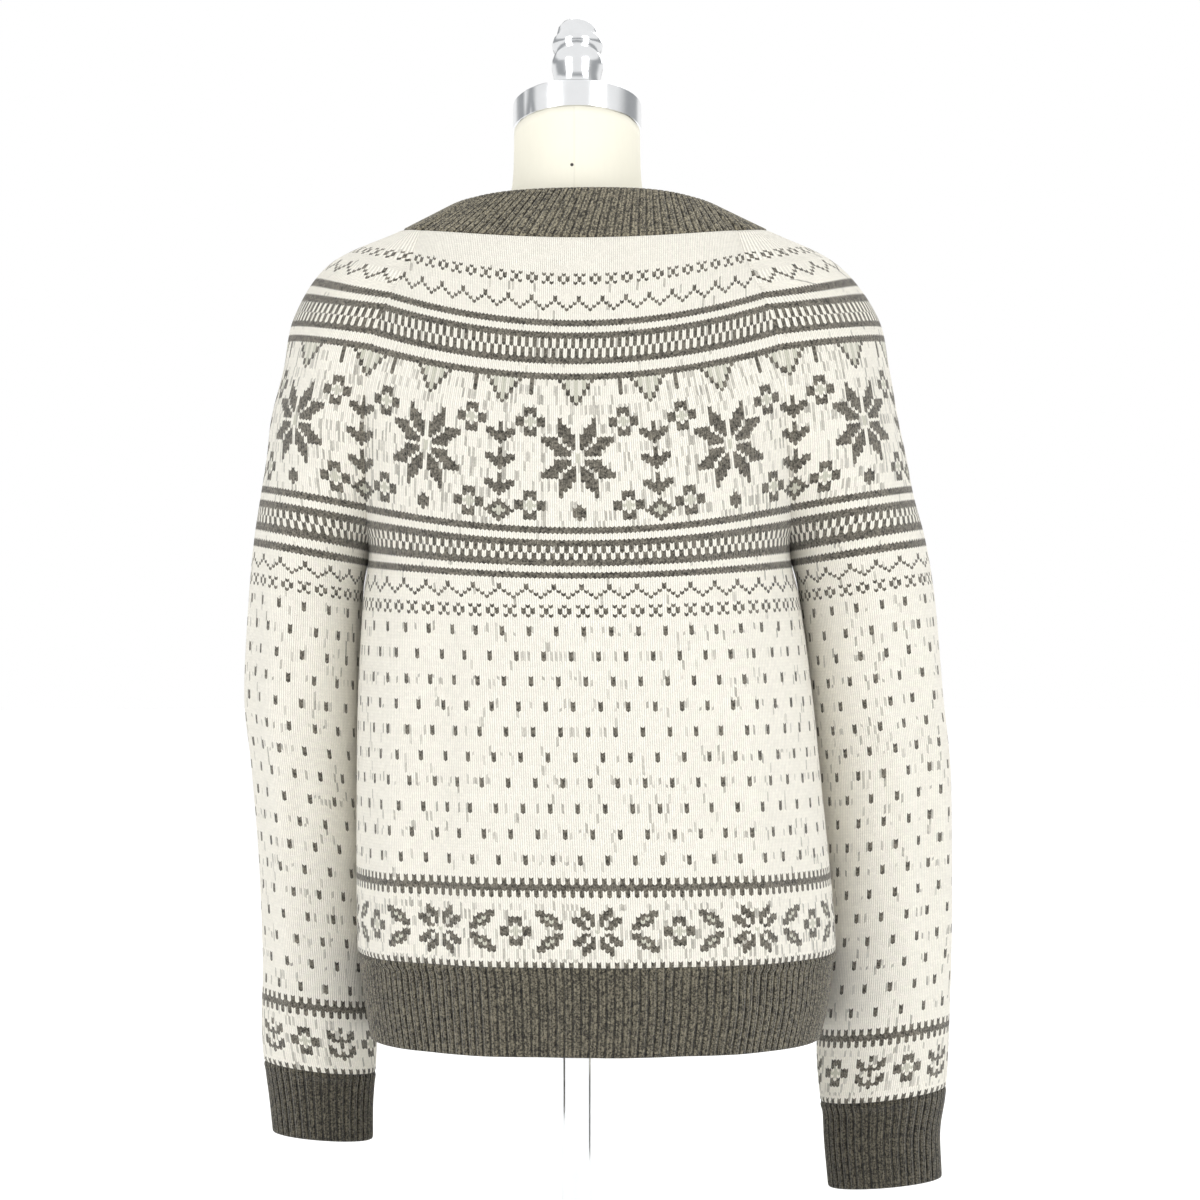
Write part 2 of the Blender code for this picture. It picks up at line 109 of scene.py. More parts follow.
YOKE_RIGHT = (
    (150, 850, 0, 48, 90, 0, 0),
    (203, 823, -10, 66, 90, 0, 0),
    (235, 782, -10, 80, 92, 0, 0),
    (245, 740, -6, 88, 97, 0, 0),
    (252, 703, 0, 90, 103, 0, 0),
    (259, 672, 3, 86, 112, 0, 0),
    (265, 641, 3, 77, 128, 62, 627),
    (274, 606, 0, 62, 180, 53, 590),
)
ARM_RIGHT = (
    (283, 560, 15, 58, 180, 52.8, 546),
    (291, 484, 29, 57, 180, 53.2, 471),
    (298, 427, 42, 55, 180, 53.2, 414),
    (300, 352, 52, 52, 180, 51.5, 340),
    (301, 277, 63, 49, 180, 52.5, 265),
    (299, 210, 66, 46, 180, 53, 198),
    (297, 168, 64, 41, 180, 50.5, 156),
    (296, 157, 63, 37, 180, 49, 146),
    (292, 132, 60, 33, 180, 46.5, 123),
    (293, 97, 58, 31, 180, 45.5, 89),
)

# Folds, the large ones first, then small creases. A negative height is a trough.
# top, bottom, at_top, at_bottom, half_width, height
BACK_FOLDS = (
    (7.4, 12.6, -100, -112, 17, -5.0),
    (8.6, 12.9, -134, -146, 15, 4.0),
    (8.0, 12.8, 128, 146, 15, 4.5),
    (8.6, 12.6, 104, 116, 14, -3.5),
    (5.2, 9.0, -138, -96, 12, -2.5),
    (5.2, 8.8, 140, 104, 12, -2.5),
    (11.6, 16.8, -62, -70, 18, 2.6),
    (11.9, 16.6, -22, -26, 15, -2.2),
    (11.5, 16.9, 34, 30, 19, 2.4),
    (11.8, 16.7, 74, 82, 14, -2.6),
    (11.7, 16.8, 118, 124, 15, 2.2),
    (11.9, 16.5, -108, -114, 13, -2.0),
    (9.6, 12.4, -34, -44, 20, -1.3),
    (10.2, 12.6, 20, 34, 22, 1.2),
    (5.8, 8.2, -110, -64, 9, -1.2),
    (6.2, 8.8, 118, 76, 9, -1.2),
)
FRONT_FOLDS = (
    (7.2, 12.7, -92, -120, 17, -4.5),
    (8.2, 12.9, -60, -84, 16, 3.5),
    (7.6, 12.8, 98, 132, 16, -5.0),
    (8.8, 12.7, 66, 92, 15, 3.5),
    (4.6, 8.6, -134, -88, 12, -2.5),
    (4.6, 8.4, 136, 94, 12, -2.5),
    (11.6, 16.8, -36, -44, 18, 2.4),
    (11.8, 16.6, 8, 12, 16, -2.4),
    (11.5, 16.9, 56, 62, 17, 2.2),
    (11.8, 16.7, 104, 112, 14, -2.2),
    (11.7, 16.6, -88, -96, 14, -2.2),
    (9.4, 12.2, -8, -20, 20, -1.4),
    (10.0, 12.6, 38, 48, 20, 1.3),
    (5.4, 8.0, -106, -60, 9, -1.2),
    (5.8, 8.4, 110, 70, 9, -1.2),
)
LEFT_SLEEVE_FOLDS = (
    (7.0, 11.4, -38, -30, 15, -4.0),
    (8.0, 13.4, -74, -60, 15, 3.0),
    (6.6, 10.4, 62, 44, 17, -4.0),
    (9.4, 13.6, 12, 24, 15, -3.0),
    (12.4, 14.6, -100, -96, 12, 1.6),
    (12.2, 14.5, -20, -12, 12, 1.6),
    (12.6, 14.6, 60, 66, 13, 1.5),
    (12.5, 14.4, 128, 122, 12, 1.6),
    (9.6, 11.4, -100, -64, 9, -1.5),
    (10.2, 12.2, 96, 58, 10, -1.6),
    (7.4, 9.4, -112, -72, 9, -1.5),
)
RIGHT_SLEEVE_FOLDS = (
    (6.2, 12.9, -74, -50, 14, -4.5),
    (7.4, 13.2, -38, -22, 14, 3.0),
    (6.6, 11.0, 58, 40, 17, -4.0),
    (9.8, 13.6, 84, 70, 15, -3.0),
    (12.4, 14.6, -104, -98, 12, 1.6),
    (12.2, 14.5, 4, 12, 12, 1.6),
    (12.6, 14.6, 52, 58, 13, 1.5),
    (12.5, 14.4, 120, 126, 12, 1.6),
    (9.2, 11.2, -108, -78, 9, -1.6),
    (10.4, 12.4, 100, 62, 10, -1.6),
    (7.2, 9.2, -114, -88, 9, -1.5),
)

NECK_EDGE_LEFT = -103
NECK_EDGE_RIGHT = 113
NECK_EDGE_BACK = 70
NECK_EDGE_FRONT = 79
NECK_RISE_BACK = 39.5
NECK_RISE_SIDE = 17
NECK_RISE_FRONT = 36

# Knitting: the width of a stitch in mm at rows counted from the neck seam
ROW_MARKS = (0, 18, 34, 44, 60, 95, 106, 122, 400)
WIDTH_MARKS = (2.95, 3.00, 2.90, 2.90, 3.15, 3.42, 3.50, 3.42, 3.42)
# Rows where a sleeve's stitch count round the yoke changes, and the rows that set the counts
FAN_MARKS = (18, 21.5, 27, 30)
FAN_ROWS = (15, 24, 24, 60)
# Rows by which the yoke's rounds rise at the raglan seams and at the shoulder's ridge
RISE_ROWS = (0, 15, 30, 47, 75, 96, 112)
RISE_AT_SEAM = (0, 4.5, 4.5, 4.0, 3.0, 1.0, 0)
RISE_AT_RIDGE = (0, 4.5, 8.6, 9.5, 5.0, 2.0, 0)
# On a sleeve: first row, last row and middle row of each stretch that runs on from the back's stitches
RUN_ON_BANDS = ((0, 18, 15), (19, 27, 24), (28, 48, 39), (49, 94, 71), (95, 108, 100))
SEAM_CURL = 0.8
SIDE_CURL = 0.3
SIDE_SEAM_ROW = 110
SEAM_REACH = 1.3
LINING_STEP = 5
BORDER_ANGLE = 48
MERGE_REACH = 0.00002
LINING_COLUMNS = 28
LINING_INSET = 0.012
# Depth of the lining's border by the wall, and the least half stitch left beside a seam
BORDER_SHARE = 0.62
LEAST_LEG = 0.35

# Bands of pattern by row from the neck seam: first row, last row, chart
YOKE_BANDS = (
    (14, 17, "rings"),
    (22, 26, "zigzag"),
    (30, 31, "stripe"),
    (34, 35, "stripe"),
    (36, 41, "long_ticks"),
    (42, 43, "stripe"),
    (47, 48, "stripe"),
    (49, 94, "star_band"),
    (95, 96, "stripe"),
    (99, 100, "stripe"),
    (101, 104, "ticks"),
    (105, 106, "stripe"),
    (109, 110, "stripe"),
    (113, 117, "zigzag"),
    (120, 123, "rings"),
)
DOTS_START = 127
DOTS_PITCH = 8
# Rows counted back from the hem or cuff seam
HEM_BANDS = (
    (28, 23, "comb"),
    (20, 3, "spray_band"),
    (2, 1, "teeth"),
)
CUFF_BANDS = (
    (25, 20, "comb"),
    (18, 4, "cross_band"),
    (2, 1, "teeth"),
)

RING_CHART = (
    "X.X..o..",
    ".X..o.o.",
    ".X..o.o.",
    "X.X..o..",
)
# Half charts from the centre line outwards: X dark, o light grey
STAR_AND_LEAVES = (
    "...X..........",
    "..XX........XX",
    ".XXX......XXXX",
    ".XX.XX...XXoX.",
    ".X.XXX...XoXX.",
    ".X.XX...XXXX..",
    "..XX....XX....",
    "o.............",
    "..XX....XX....",
    ".X.XX...XXXX..",
    ".X.XXX...XoXX.",
    ".XX.XX...XXoX.",
    ".XXX......XXXX",
    "..XX........XX",
    "...X..........",
)
TWIG = (
    "X...",
    "X..X",
    "..XX",
    "X.XX",
    "XXX.",
    "X...",
    "X..X",
    "..XX",
    "X.XX",
    "XXX.",
    "X...",
)
ZIGZAG_ROWS = ((0, 1), (2, 2), (3, 3), (4, 4), (3, 3), (2, 2))

# Wide band: the repeat in stitches, the size of a stitch in mm, and where its motifs stand
MOTIF_REPEAT = 36
STITCH_WIDE = 3.4
ROW_TALL = 2.4
STAR_ROW = 24
PETAL = 15.5
PETAL_GAP = 1.3
PETAL_SPLIT = 1.6
CORNER_ASIDE = 11
CORNER_ROWS = (39, 13)
TRIANGLE_HALF = 4
DROP_ROWS = 5
STEM_ROWS = (14, 37)
LEAF_ROWS = (19, 27, 35)
LEAF_LENGTH = 15.0
LEAF_HALF = 2.9
LEAF_TILT = math.radians(40)
BUD_ROW = 41
# Share of stitches behind which a carried yarn shows: in plain knitting, dotted rows and wide bands
PLAIN_FLOATS = 0.03
DOTTED_FLOATS = 0.10
BAND_FLOATS = 0.22
# How dark a carried yarn shows through, and the lining's dark share, grey share and tone
GHOST_LEAST = 0.20
GHOST_SPREAD = 0.40
LINING_YARN = (0.16, 0.0, 0.5)

# Ribs, in mm: heights of one rib across its pitch, starting in the valley
RIB_PROFILE = (-1.3, -0.1, 0.35, 0.05, 0.35, -0.1)
RIB_DROP = (0.0, 0.12, 0.32, 0.5, 0.32, 0.12)
# Share of shadow on each strip of a rib: the valley, a leg, the groove between legs, a leg, the valley
RIB_VALLEY_SHADE = (1.0, 0.0, 0.5, 0.5, 0.0, 1.0)
RIB_LINING_ROWS = 7
RIB_STEPS = 31
# The neckband's pitch by the hem's, and how light the wool of the ribs is: the hem's own tone, the cuffs
# darker by painted shade, the neckband lighter by painted light
NECKBAND_PITCH = 0.92
RIB_TONE_AND_PAINTED_LIGHT = (("charcoal_rib", 0.68), ("cuff_rib_painted_shade", 0.44), ("collar_rib_painted_light", 1.06))


def ring_values(rows, place):
    """Read a table of rings between its rows with a Catmull-Rom curve."""
    table = np.asarray(rows, float)
    place = np.atleast_1d(np.asarray(place, float))
    first = np.clip(np.floor(place).astype(int), 0, len(table) - 2)
    part = (place - first)[:, None]
    here = table[first]
    after = table[first + 1]
    slope_here = (after - table[np.maximum(first - 1, 0)]) * np.where(first > 0, 0.5, 1.0)[:, None]
    last = first + 2 > len(table) - 1
    slope_after = (table[np.minimum(first + 2, len(table) - 1)] - here) * np.where(last, 1.0, 0.5)[:, None]
    return (
        (2 * part**3 - 3 * part**2 + 1) * here
        + (part**3 - 2 * part**2 + part) * slope_here
        + (3 * part**2 - 2 * part**3) * after
        + (part**3 - part**2) * slope_after
    )


def smooth_step(value):
    value = np.clip(value, 0.0, 1.0)
    return value * value * (3 - 2 * value)


def fold_height(folds, place, across):
    """How far the folds lift the cloth at points across one ring."""
    total = np.zeros_like(across)
    for top, bottom, at_top, at_bottom, half_width, height in folds:
        along = (place - top) / (bottom - top)
        if along <= 0 or along >= 1:
            continue
        centre = at_top + (at_bottom - at_top) * along
        window = math.sin(math.pi * along) ** 0.8
        total += height * window * np.exp(-(((across - centre) / half_width) ** 2))
    return total


def push_out(line, heights):
    """Move a ring's points outwards in its plane."""
    along = np.gradient(line[:, :2], axis=0)
    length = np.maximum(np.hypot(along[:, 0], along[:, 1]), 1e-9)
    moved = line.copy()
    moved[:, 0] += along[:, 1] / length * heights
    moved[:, 1] -= along[:, 0] / length * heights
    return moved


def sleeve_rows(side):
    return YOKE_LEFT + ARM_LEFT if side < 0 else YOKE_RIGHT + ARM_RIGHT


def seam_depths(place):
    """Where the raglan seams lie from back to front: the back seam's y and the front seam's y."""
    if place >= UNDERARM:
        return 0.0, 0.0
    _, _, y, depth, angle, _, _ = ring_values(sleeve_rows(-1), place)[0]
    reach = depth * math.sin(math.radians(min(angle, 180.0)))
    return y - reach, y + reach


def panel_line(place, is_back):
    """One ring of the back or front panel, anticlockwise seen from above; its middle point is the centre."""
    z_back, z_seam, z_front_seam, z_front, left, right, back, front = ring_values(BODY_RINGS, place)[0]
    y_back, y_front = seam_depths(place)
    depth, power, y_seam = (back, BACK_POWER, -y_back) if is_back else (front, FRONT_POWER, y_front)
    z_centre, z_edge = (z_back, z_seam) if is_back else (z_front, z_front_seam)
    centre = (left + right) / 2
    half = (right - left) / 2
    full = half / (1 - (max(y_seam, 0.0) / depth) ** power) ** (1 / power)
    x = half * np.sin(np.linspace(-math.pi / 2, math.pi / 2, DENSE))
    y = depth * np.clip(1 - np.abs(x / full) ** power, 0, 1) ** (1 / power)
    z = z_centre + (z_edge - z_centre) * np.abs(x / half) ** (BACK_RISE if is_back else FRONT_RISE)
    line = np.stack([centre + x, -y, z], axis=1)
    if not is_back:
        line = line[::-1] * (1, -1, 1)
    ends = 1 - np.abs(line[:, 0] - centre) / half
    folds = BACK_FOLDS if is_back else FRONT_FOLDS
    heights = fold_height(folds, place, line[:, 0]) * smooth_step(ends / 0.06)
    return push_out(line, heights)


def sleeve_line(place, side):
    """One ring of a sleeve, anticlockwise seen from above; its middle point is on the outer side."""
    outer_x, outer_z, y, depth, angle, width, inner_z = ring_values(sleeve_rows(side), place)[0]
    angle = math.radians(min(angle, 180.0))
    if place < UNDERARM:
        _, z_back, z_front, _, left, right, _, _ = ring_values(BODY_RINGS, place)[0]
        seam = left if side < 0 else right
        _, _, y, depth, _, _, _ = ring_values(sleeve_rows(-1), place)[0]
        width = abs(outer_x - seam) / (1 - math.cos(angle))
    else:
        z_back = z_front = inner_z
        angle = math.pi
    turn = np.linspace(-angle, angle, DENSE)
    if side < 0:
        turn = turn[::-1]
    share = (np.cos(turn) - math.cos(angle)) / (1 - math.cos(angle))
    edge_z = z_back + (z_front - z_back) * (1 + turn / angle) / 2
    x = outer_x - side * width * (1 - np.cos(turn))
    line = np.stack([x, y + depth * np.sin(turn), edge_z + (outer_z - edge_z) * share], axis=1)
    folds = LEFT_SLEEVE_FOLDS if side < 0 else RIGHT_SLEEVE_FOLDS
    heights = fold_height(folds, place, np.degrees(turn)) * smooth_step(share / 0.08)
    return push_out(line, heights)


def unit(vectors):
    return vectors / np.maximum(np.linalg.norm(vectors, axis=-1, keepdims=True), 1e-9)


def path_lengths(points):
    """Running length along the first axis of an array of points."""
    steps = np.linalg.norm(np.diff(points, axis=0), axis=-1)
    return np.concatenate([np.zeros((1,) + steps.shape[1:]), np.cumsum(steps, axis=0)])


def along_line(wanted, run, values):
    """A line's points or normals at wanted lengths along it."""
    return np.stack([np.interp(wanted, run, values[:, axis]) for axis in range(3)], axis=-1)


def ring_table(line_at, last):
    """Places from the neck seam down, the cloth's length there and the rings, at close steps."""
    yoke = np.linspace(0, UNDERARM, 50 * UNDERARM + 1)
    lower = np.linspace(UNDERARM, last, 80 * (last - UNDERARM) + 1)[1:]
    places = np.concatenate([yoke, lower])
    rings = np.array([line_at(place) for place in places])
    centre = np.array([panel_line(place, True)[DENSE // 2] for place in yoke])
    lengths = path_lengths(centre)
    below = path_lengths(rings[len(yoke) - 1 :]).mean(axis=1) + lengths[-1]
    return np.concatenate([lengths, below[1:]]), rings


def surface_normals(points):
    down = np.gradient(points, axis=0)
    along = np.gradient(points, axis=1)
    return unit(np.cross(down, along))


def rise_of_rounds(rows, is_sleeve):
    """Rows by which each round lies higher than at the centre back, for every point of its ring."""
    aside = np.abs(np.linspace(-1, 1, DENSE))
    at_seam = np.interp(rows, RISE_ROWS, RISE_AT_SEAM)[:, None]
    if not is_sleeve:
        return at_seam * np.sin(math.pi / 2 * aside) ** 2
    at_ridge = np.interp(rows, RISE_ROWS, RISE_AT_RIDGE)[:, None]
    return at_seam + (at_ridge - at_seam) * np.sin(math.pi / 2 * (1 - aside))


class KnitSurface:
    """The shell of a panel or sleeve, read by knitted row and by the length along the row."""

    def __init__(self, line_at, last, row_height, is_sleeve):
        lengths, rings = ring_table(line_at, last)
        self.total = lengths[-1]
        self.rows = int(round(self.total / row_height))
        half_rows = np.arange(2 * self.rows + 1) / 2
        rise = rise_of_rounds(half_rows, is_sleeve)
        wanted = (half_rows[:, None] - rise) * self.total / self.rows
        at = np.interp(wanted, lengths, np.arange(len(lengths)))
        low = np.minimum(at.astype(int), len(lengths) - 2)
        part = (at - low)[..., None]
        column = np.arange(DENSE)
        self.points = rings[low, column] * (1 - part) + rings[low + 1, column] * part
        self.normals = surface_normals(self.points)
        runs = path_lengths(self.points.transpose(1, 0, 2)).T
        self.runs = runs - runs[:, DENSE // 2][:, None]
        self.widths = np.interp(half_rows, ROW_MARKS, WIDTH_MARKS)
        if is_sleeve:
            self.fan_out(half_rows)

    def fan_out(self, half_rows):
        """Round the yoke a sleeve keeps its stitch count through each band, as the girth grows."""
        girth = self.runs[:, -1] - self.runs[:, 0]
        counts = [girth[2 * row] / self.widths[2 * row] for row in FAN_ROWS]
        fanned = girth / np.interp(half_rows, FAN_MARKS, counts)
        self.widths = np.where(half_rows <= FAN_ROWS[-1], fanned, self.widths)

    def sample(self, level, across, depth=0.0):
        """Points at a half-row level and lengths across it, a depth below the surface."""
        run = self.runs[level]
        normals = unit(along_line(across, run, self.normals[level]))
        return along_line(across, run, self.points[level]) - normals * np.asarray(depth)[..., None]

    def flat_area(self):
        return float((self.runs[:, -1] - self.runs[:, 0]).mean() * self.total)

    def flat_width(self):
        return float((self.runs[:, -1] - self.runs[:, 0]).max())


def run_on_offsets(back, sleeve, side):
    """Stitches to add along a sleeve's rounds, so that each band runs on from the back panel's."""
    offsets = np.zeros(sleeve.rows + 1, int)
    back_end, sleeve_end = (0, -1) if side < 0 else (-1, 0)
    for first, last, middle in RUN_ON_BANDS:
        level = 2 * middle
        on_back = back.runs[level, back_end] / back.widths[level]
        on_sleeve = sleeve.runs[level, sleeve_end] / sleeve.widths[level]
        offsets[first : last + 1] = round(on_back - on_sleeve)
    return offsets


def knit_columns(surface):
    """For each row, the first and last column of half stitches, both of them on the seams."""
    levels = np.arange(surface.rows + 1) * 2
    half = surface.widths[levels] / 2
    first = np.ceil(surface.runs[levels, 0] / half + LEAST_LEG).astype(int) - 1
    last = np.floor(surface.runs[levels, -1] / half - LEAST_LEG).astype(int) + 1
    return first, last


def seam_depth(beside, above, row):
    """How far the cloth turns in beside a side or sleeve seam and above a rib's seam."""
    side = SIDE_CURL * (row > SIDE_SEAM_ROW) * np.exp(-((beside / SEAM_REACH) ** 2))
    return np.maximum(side, SEAM_CURL * np.exp(-((above / SEAM_REACH) ** 2)))


def outer_points(surface, first, last):
    """The face of the knitting: two columns to a stitch, its middle half a row lower than its sides."""
    rows = []
    for row in range(surface.rows + 1):
        level = 2 * row
        columns = np.arange(first[row], last[row] + 1)
        half = surface.widths[level] / 2
        low, high = surface.runs[level, 0], surface.runs[level, -1]
        across = np.clip(columns * half, low, high)
        across[0], across[-1] = low, high
        edge = min(level, 2 * surface.rows - level) / 2 * (surface.total / surface.rows)
        depth = seam_depth(np.minimum(across - low, high - across), edge, row)
        points = surface.sample(level, across, depth)
        if 0 < row < surface.rows:
            middle = columns % 2 != 0
            middle[[0, -1]] = False
            dropped = surface.sample(level + 1, across, depth)
            points[middle] = dropped[middle]
        rows.append(points)
    return rows


def lining_points(surface):
    """The inside of the knitting, a coarser grid one wall deeper."""
    levels = np.unique(np.append(np.arange(0, 2 * surface.rows, 2 * LINING_STEP), 2 * surface.rows))
    share = np.concatenate([[0.0], np.linspace(LINING_INSET, 1 - LINING_INSET, LINING_COLUMNS), [1.0]])
    border = (share == 0) | (share == 1)
    rows = []
    for level in levels:
        run = surface.runs[level]
        across = run[0] + (run[-1] - run[0]) * share
        depth = np.where(border, WALL * BORDER_SHARE, WALL)
        if level in (levels[0], levels[-1]):
            depth = np.full_like(depth, WALL * BORDER_SHARE)
        rows.append(surface.sample(level, across, depth))
    return np.array(rows), levels


def zip_sides(outer, inner, outer_at, inner_at, turned):
    """Triangles that close the gap between two borders, walked together by their positions."""
    faces = []
    i = j = 0
    while i < len(outer) - 1 or j < len(inner) - 1:
        step_outer = j == len(inner) - 1 or (i < len(outer) - 1 and outer_at[i + 1] <= inner_at[j + 1])
        if step_outer:
            face = (outer[i], outer[i + 1], inner[j])
            i += 1
        else:
            face = (outer[i], inner[j + 1], inner[j])
            j += 1
        faces.append(face[::-1] if turned else face)
    return faces


def new_mesh(name, points, faces):
    """A mesh from points in mm."""
    mesh = bpy.data.meshes.new(name)
    mesh.from_pydata([tuple(point) for point in points * MM], [], faces)
    return mesh


def set_colours(mesh, values, sizes):
    """Give every corner of each face the face's own value."""
    layer = mesh.color_attributes.new("yarn", "FLOAT_COLOR", "CORNER")
    layer.data.foreach_set("color", np.repeat(values, sizes, axis=0).astype(np.float32).ravel())


def knit_mesh(name, surface, paint):
    """A closed shell of knitting with its stitches' yarns and a map of legs and rows."""
    first, last = knit_columns(surface)
    outer = outer_points(surface, first, last)
    starts = np.concatenate([[0], np.cumsum([len(row) for row in outer])])
    columns = np.arange(first.min(), last.max())
    row_of = np.arange(surface.rows)[:, None]
    column_of = columns[None, :]

    def vertex(row, column):
        clipped = np.clip(column, first[row], last[row])
        return starts[row] + clipped - first[row]

    corners = np.stack(
        [
            vertex(row_of, column_of),
            vertex(row_of + 1, column_of),
            vertex(row_of + 1, column_of + 1),
            vertex(row_of, column_of + 1),
        ],
        axis=-1,
    )
    upper = corners[..., 0] != corners[..., 3]
    lower = corners[..., 1] != corners[..., 2]
    kept = upper | lower
    face_rows, face_columns = np.nonzero(kept)
    quads = corners[kept]
    faces = []
    for corner, has_upper, has_lower in zip(quads.tolist(), upper[kept], lower[kept]):
        if not has_upper:
            corner = corner[:3]
        elif not has_lower:
            corner = [corner[0], corner[1], corner[3]]
        faces.append(corner)
    lining, levels = lining_points(surface)
    wide = lining.shape[1]
    ids = starts[-1] + np.arange(len(lining) * wide).reshape(-1, wide)
    inside = np.stack([ids[:-1, :-1], ids[:-1, 1:], ids[1:, 1:], ids[1:, :-1]], axis=-1).reshape(-1, 4)
    knit_count = len(faces)
    faces += inside.tolist()
    row_numbers = np.arange(surface.rows + 1)
    top = starts[0] + np.arange(len(outer[0]))
    bottom = starts[surface.rows] + np.arange(len(outer[-1]))
    left = starts[row_numbers]
    right = starts[row_numbers + 1] - 1
    along = np.linspace(0, 1, wide)
    faces += zip_sides(top, ids[0], np.linspace(0, 1, len(top)), along, False)
    faces += zip_sides(bottom, ids[-1], np.linspace(0, 1, len(bottom)), along, True)
    faces += zip_sides(left, ids[:, 0], row_numbers * 2, levels, True)
    faces += zip_sides(right, ids[:, -1], row_numbers * 2, levels, False)
    mesh = new_mesh(name, np.concatenate(outer + [lining.reshape(-1, 3)]), faces)
    legs = columns[face_columns]
    set_yarns(mesh, paint(legs, face_rows, surface.rows), knit_count)
    set_leg_map(mesh, legs, face_rows, knit_count)
    mesh.shade_smooth()
    mesh.set_sharp_from_angle(angle=math.radians(BORDER_ANGLE))
    return add_object(name, mesh)


def set_yarns(mesh, painted, knit_count):
    """Each face's share of dark yarn, of grey yarn and its own tone, in one colour attribute."""
    values = np.zeros((len(mesh.polygons), 4))
    values[:knit_count, :3] = np.stack(painted, axis=-1)
    values[knit_count:, :3] = LINING_YARN
    values[:, 3] = 1.0
    set_colours(mesh, values, [len(face.vertices) for face in mesh.polygons])


def set_leg_map(mesh, legs, rows, knit_count):
    """A UV map with one unit to a leg across and one to a row down."""
    layer = mesh.uv_layers.new(name="legs")
    coordinates = np.zeros((len(mesh.loops), 2), np.float32)
    square = {
        4: ((0, 0), (0, -1), (1, -1), (1, 0)),
        3: ((0, 0), (0, -1), (1, -1)),
    }
    at = 0
    for index, face in enumerate(mesh.polygons):
        size = len(face.vertices)
        if index < knit_count:
            for corner, (across, down) in enumerate(square[size]):
                coordinates[at + corner] = (legs[index] + across, down - rows[index])
        at += size
    layer.data.foreach_set("uv", coordinates.ravel())


def add_object(name, mesh):
    item = bpy.data.objects.new(name, mesh)
    bpy.context.scene.collection.objects.link(item)
    return item


def hash_noise(first, second, seed):
    """A steady pseudo-random number from 0 to 1 for each pair of whole numbers."""
    value = np.sin(first * 12.9898 + second * 78.233 + seed * 37.719) * 43758.5453
    return value - np.floor(value)


def ring_chart(stitch, row):
    table = np.array([list(line) for line in RING_CHART]) != "."
    return table[row, (stitch + 1) % len(RING_CHART[0])]


def zigzag_chart(stitch, row):
    spans = np.array(ZIGZAG_ROWS)[stitch % len(ZIGZAG_ROWS)]
    return (row >= spans[:, 0]) & (row <= spans[:, 1])


def small_chart(dark_at):
    """A chart of dark yarn alone, from a rule that says where it is dark."""
    return lambda stitch, row: (dark_at(stitch, row) * 1.0, np.zeros(len(stitch)))


def centred(stitch, period, start=0):
    """Distance in stitches to the nearest motif centre."""
    return (stitch - start + period // 2) % period - period // 2


def star(across, down, petal):
    """An eight-petalled star, in mm from its centre: each petal lies between an axis and a diagonal."""
    low = np.minimum(np.abs(across), np.abs(down))
    high = np.maximum(np.abs(across), np.abs(down))
    beside_axis = (low >= PETAL_GAP) & (low <= petal)
    return beside_axis & (high - low >= PETAL_SPLIT) & (high - low <= petal)


def cross(across, down, dark, grey):
    """A small diamond cross with a grey heart, in stitches and rows from its centre."""
    a = np.abs(across)
    b = np.abs(down)
    heart = (a <= 1) & (b <= 1) & (a + b <= 1)
    arms = ((a <= 3) & (b <= 1)) | ((a <= 1) & (b <= 4)) | ((a <= 2) & (b <= 2) & (a + b <= 3))
    hollow = (a <= 1) & (b <= 2) & (a + b <= 2)
    dark[arms & ~hollow] = 1.0
    grey[heart] = 1.0


def leaf(across, down):
    """A slim pointed leaf of the sprig, in mm from its foot, which is at the origin."""
    along = across * math.cos(LEAF_TILT) - down * math.sin(LEAF_TILT)
    aside = across * math.sin(LEAF_TILT) + down * math.cos(LEAF_TILT)
    share = np.clip(along / LEAF_LENGTH, 0, 1)
    wide = LEAF_HALF * np.sin(np.pi * share**0.8) + 0.2
    return (along >= 0) & (along <= LEAF_LENGTH) & (np.abs(aside) <= wide)


def star_band_chart(stitch, row):
    """Stars between sprigs, with hanging grey triangles above and small crosses in the corners."""
    dark, grey = np.zeros((2, len(stitch)))
    near_star = centred(stitch, MOTIF_REPEAT)
    near_sprig = centred(stitch, MOTIF_REPEAT, MOTIF_REPEAT // 2)
    from_star = np.abs(near_star)
    from_sprig = np.abs(near_sprig)
    at_heart = np.abs(row - STAR_ROW) <= 1
    dark[star(near_star * STITCH_WIDE, (row - STAR_ROW) * ROW_TALL, PETAL)] = 1.0
    dark[(from_star <= 1) & at_heart] = 0.0
    grey[(near_star == 0) & at_heart] = 1.0
    for side in (-CORNER_ASIDE, CORNER_ASIDE):
        for corner_row in CORNER_ROWS:
            cross(near_star - side, row - corner_row, dark, grey)
    edge = TRIANGLE_HALF - (row + 1) // 2
    hanging = row < 2 * TRIANGLE_HALF
    for aside in (from_star, from_sprig):
        inside = (aside < edge) & hanging
        grey[inside] = np.where(aside % 2 == 0, 1.0, 0.4)[inside]
        dark[(aside == edge) & hanging] = 1.0
    dark[(from_star == CORNER_ASIDE) & (row < DROP_ROWS)] = 1.0
    stem = (row >= STEM_ROWS[0]) & (row <= STEM_ROWS[1]) & (row % 8 != 5)
    dark[(near_sprig == 0) & stem] = 1.0
    for foot in LEAF_ROWS:
        dark[leaf(STITCH_WIDE * from_sprig - 1.0, (row - foot) * ROW_TALL)] = 1.0
    from_bud = from_sprig + np.abs(row - BUD_ROW)
    dark[from_bud <= 3] = 1.0
    dark[from_bud <= 1] = 0.0
    grey[from_bud <= 1] = 1.0
    dark[from_star + np.maximum(np.abs(row - BUD_ROW) - 1, 0) <= 1] = 1.0
    return dark, np.where(dark > 0, 0.0, grey)


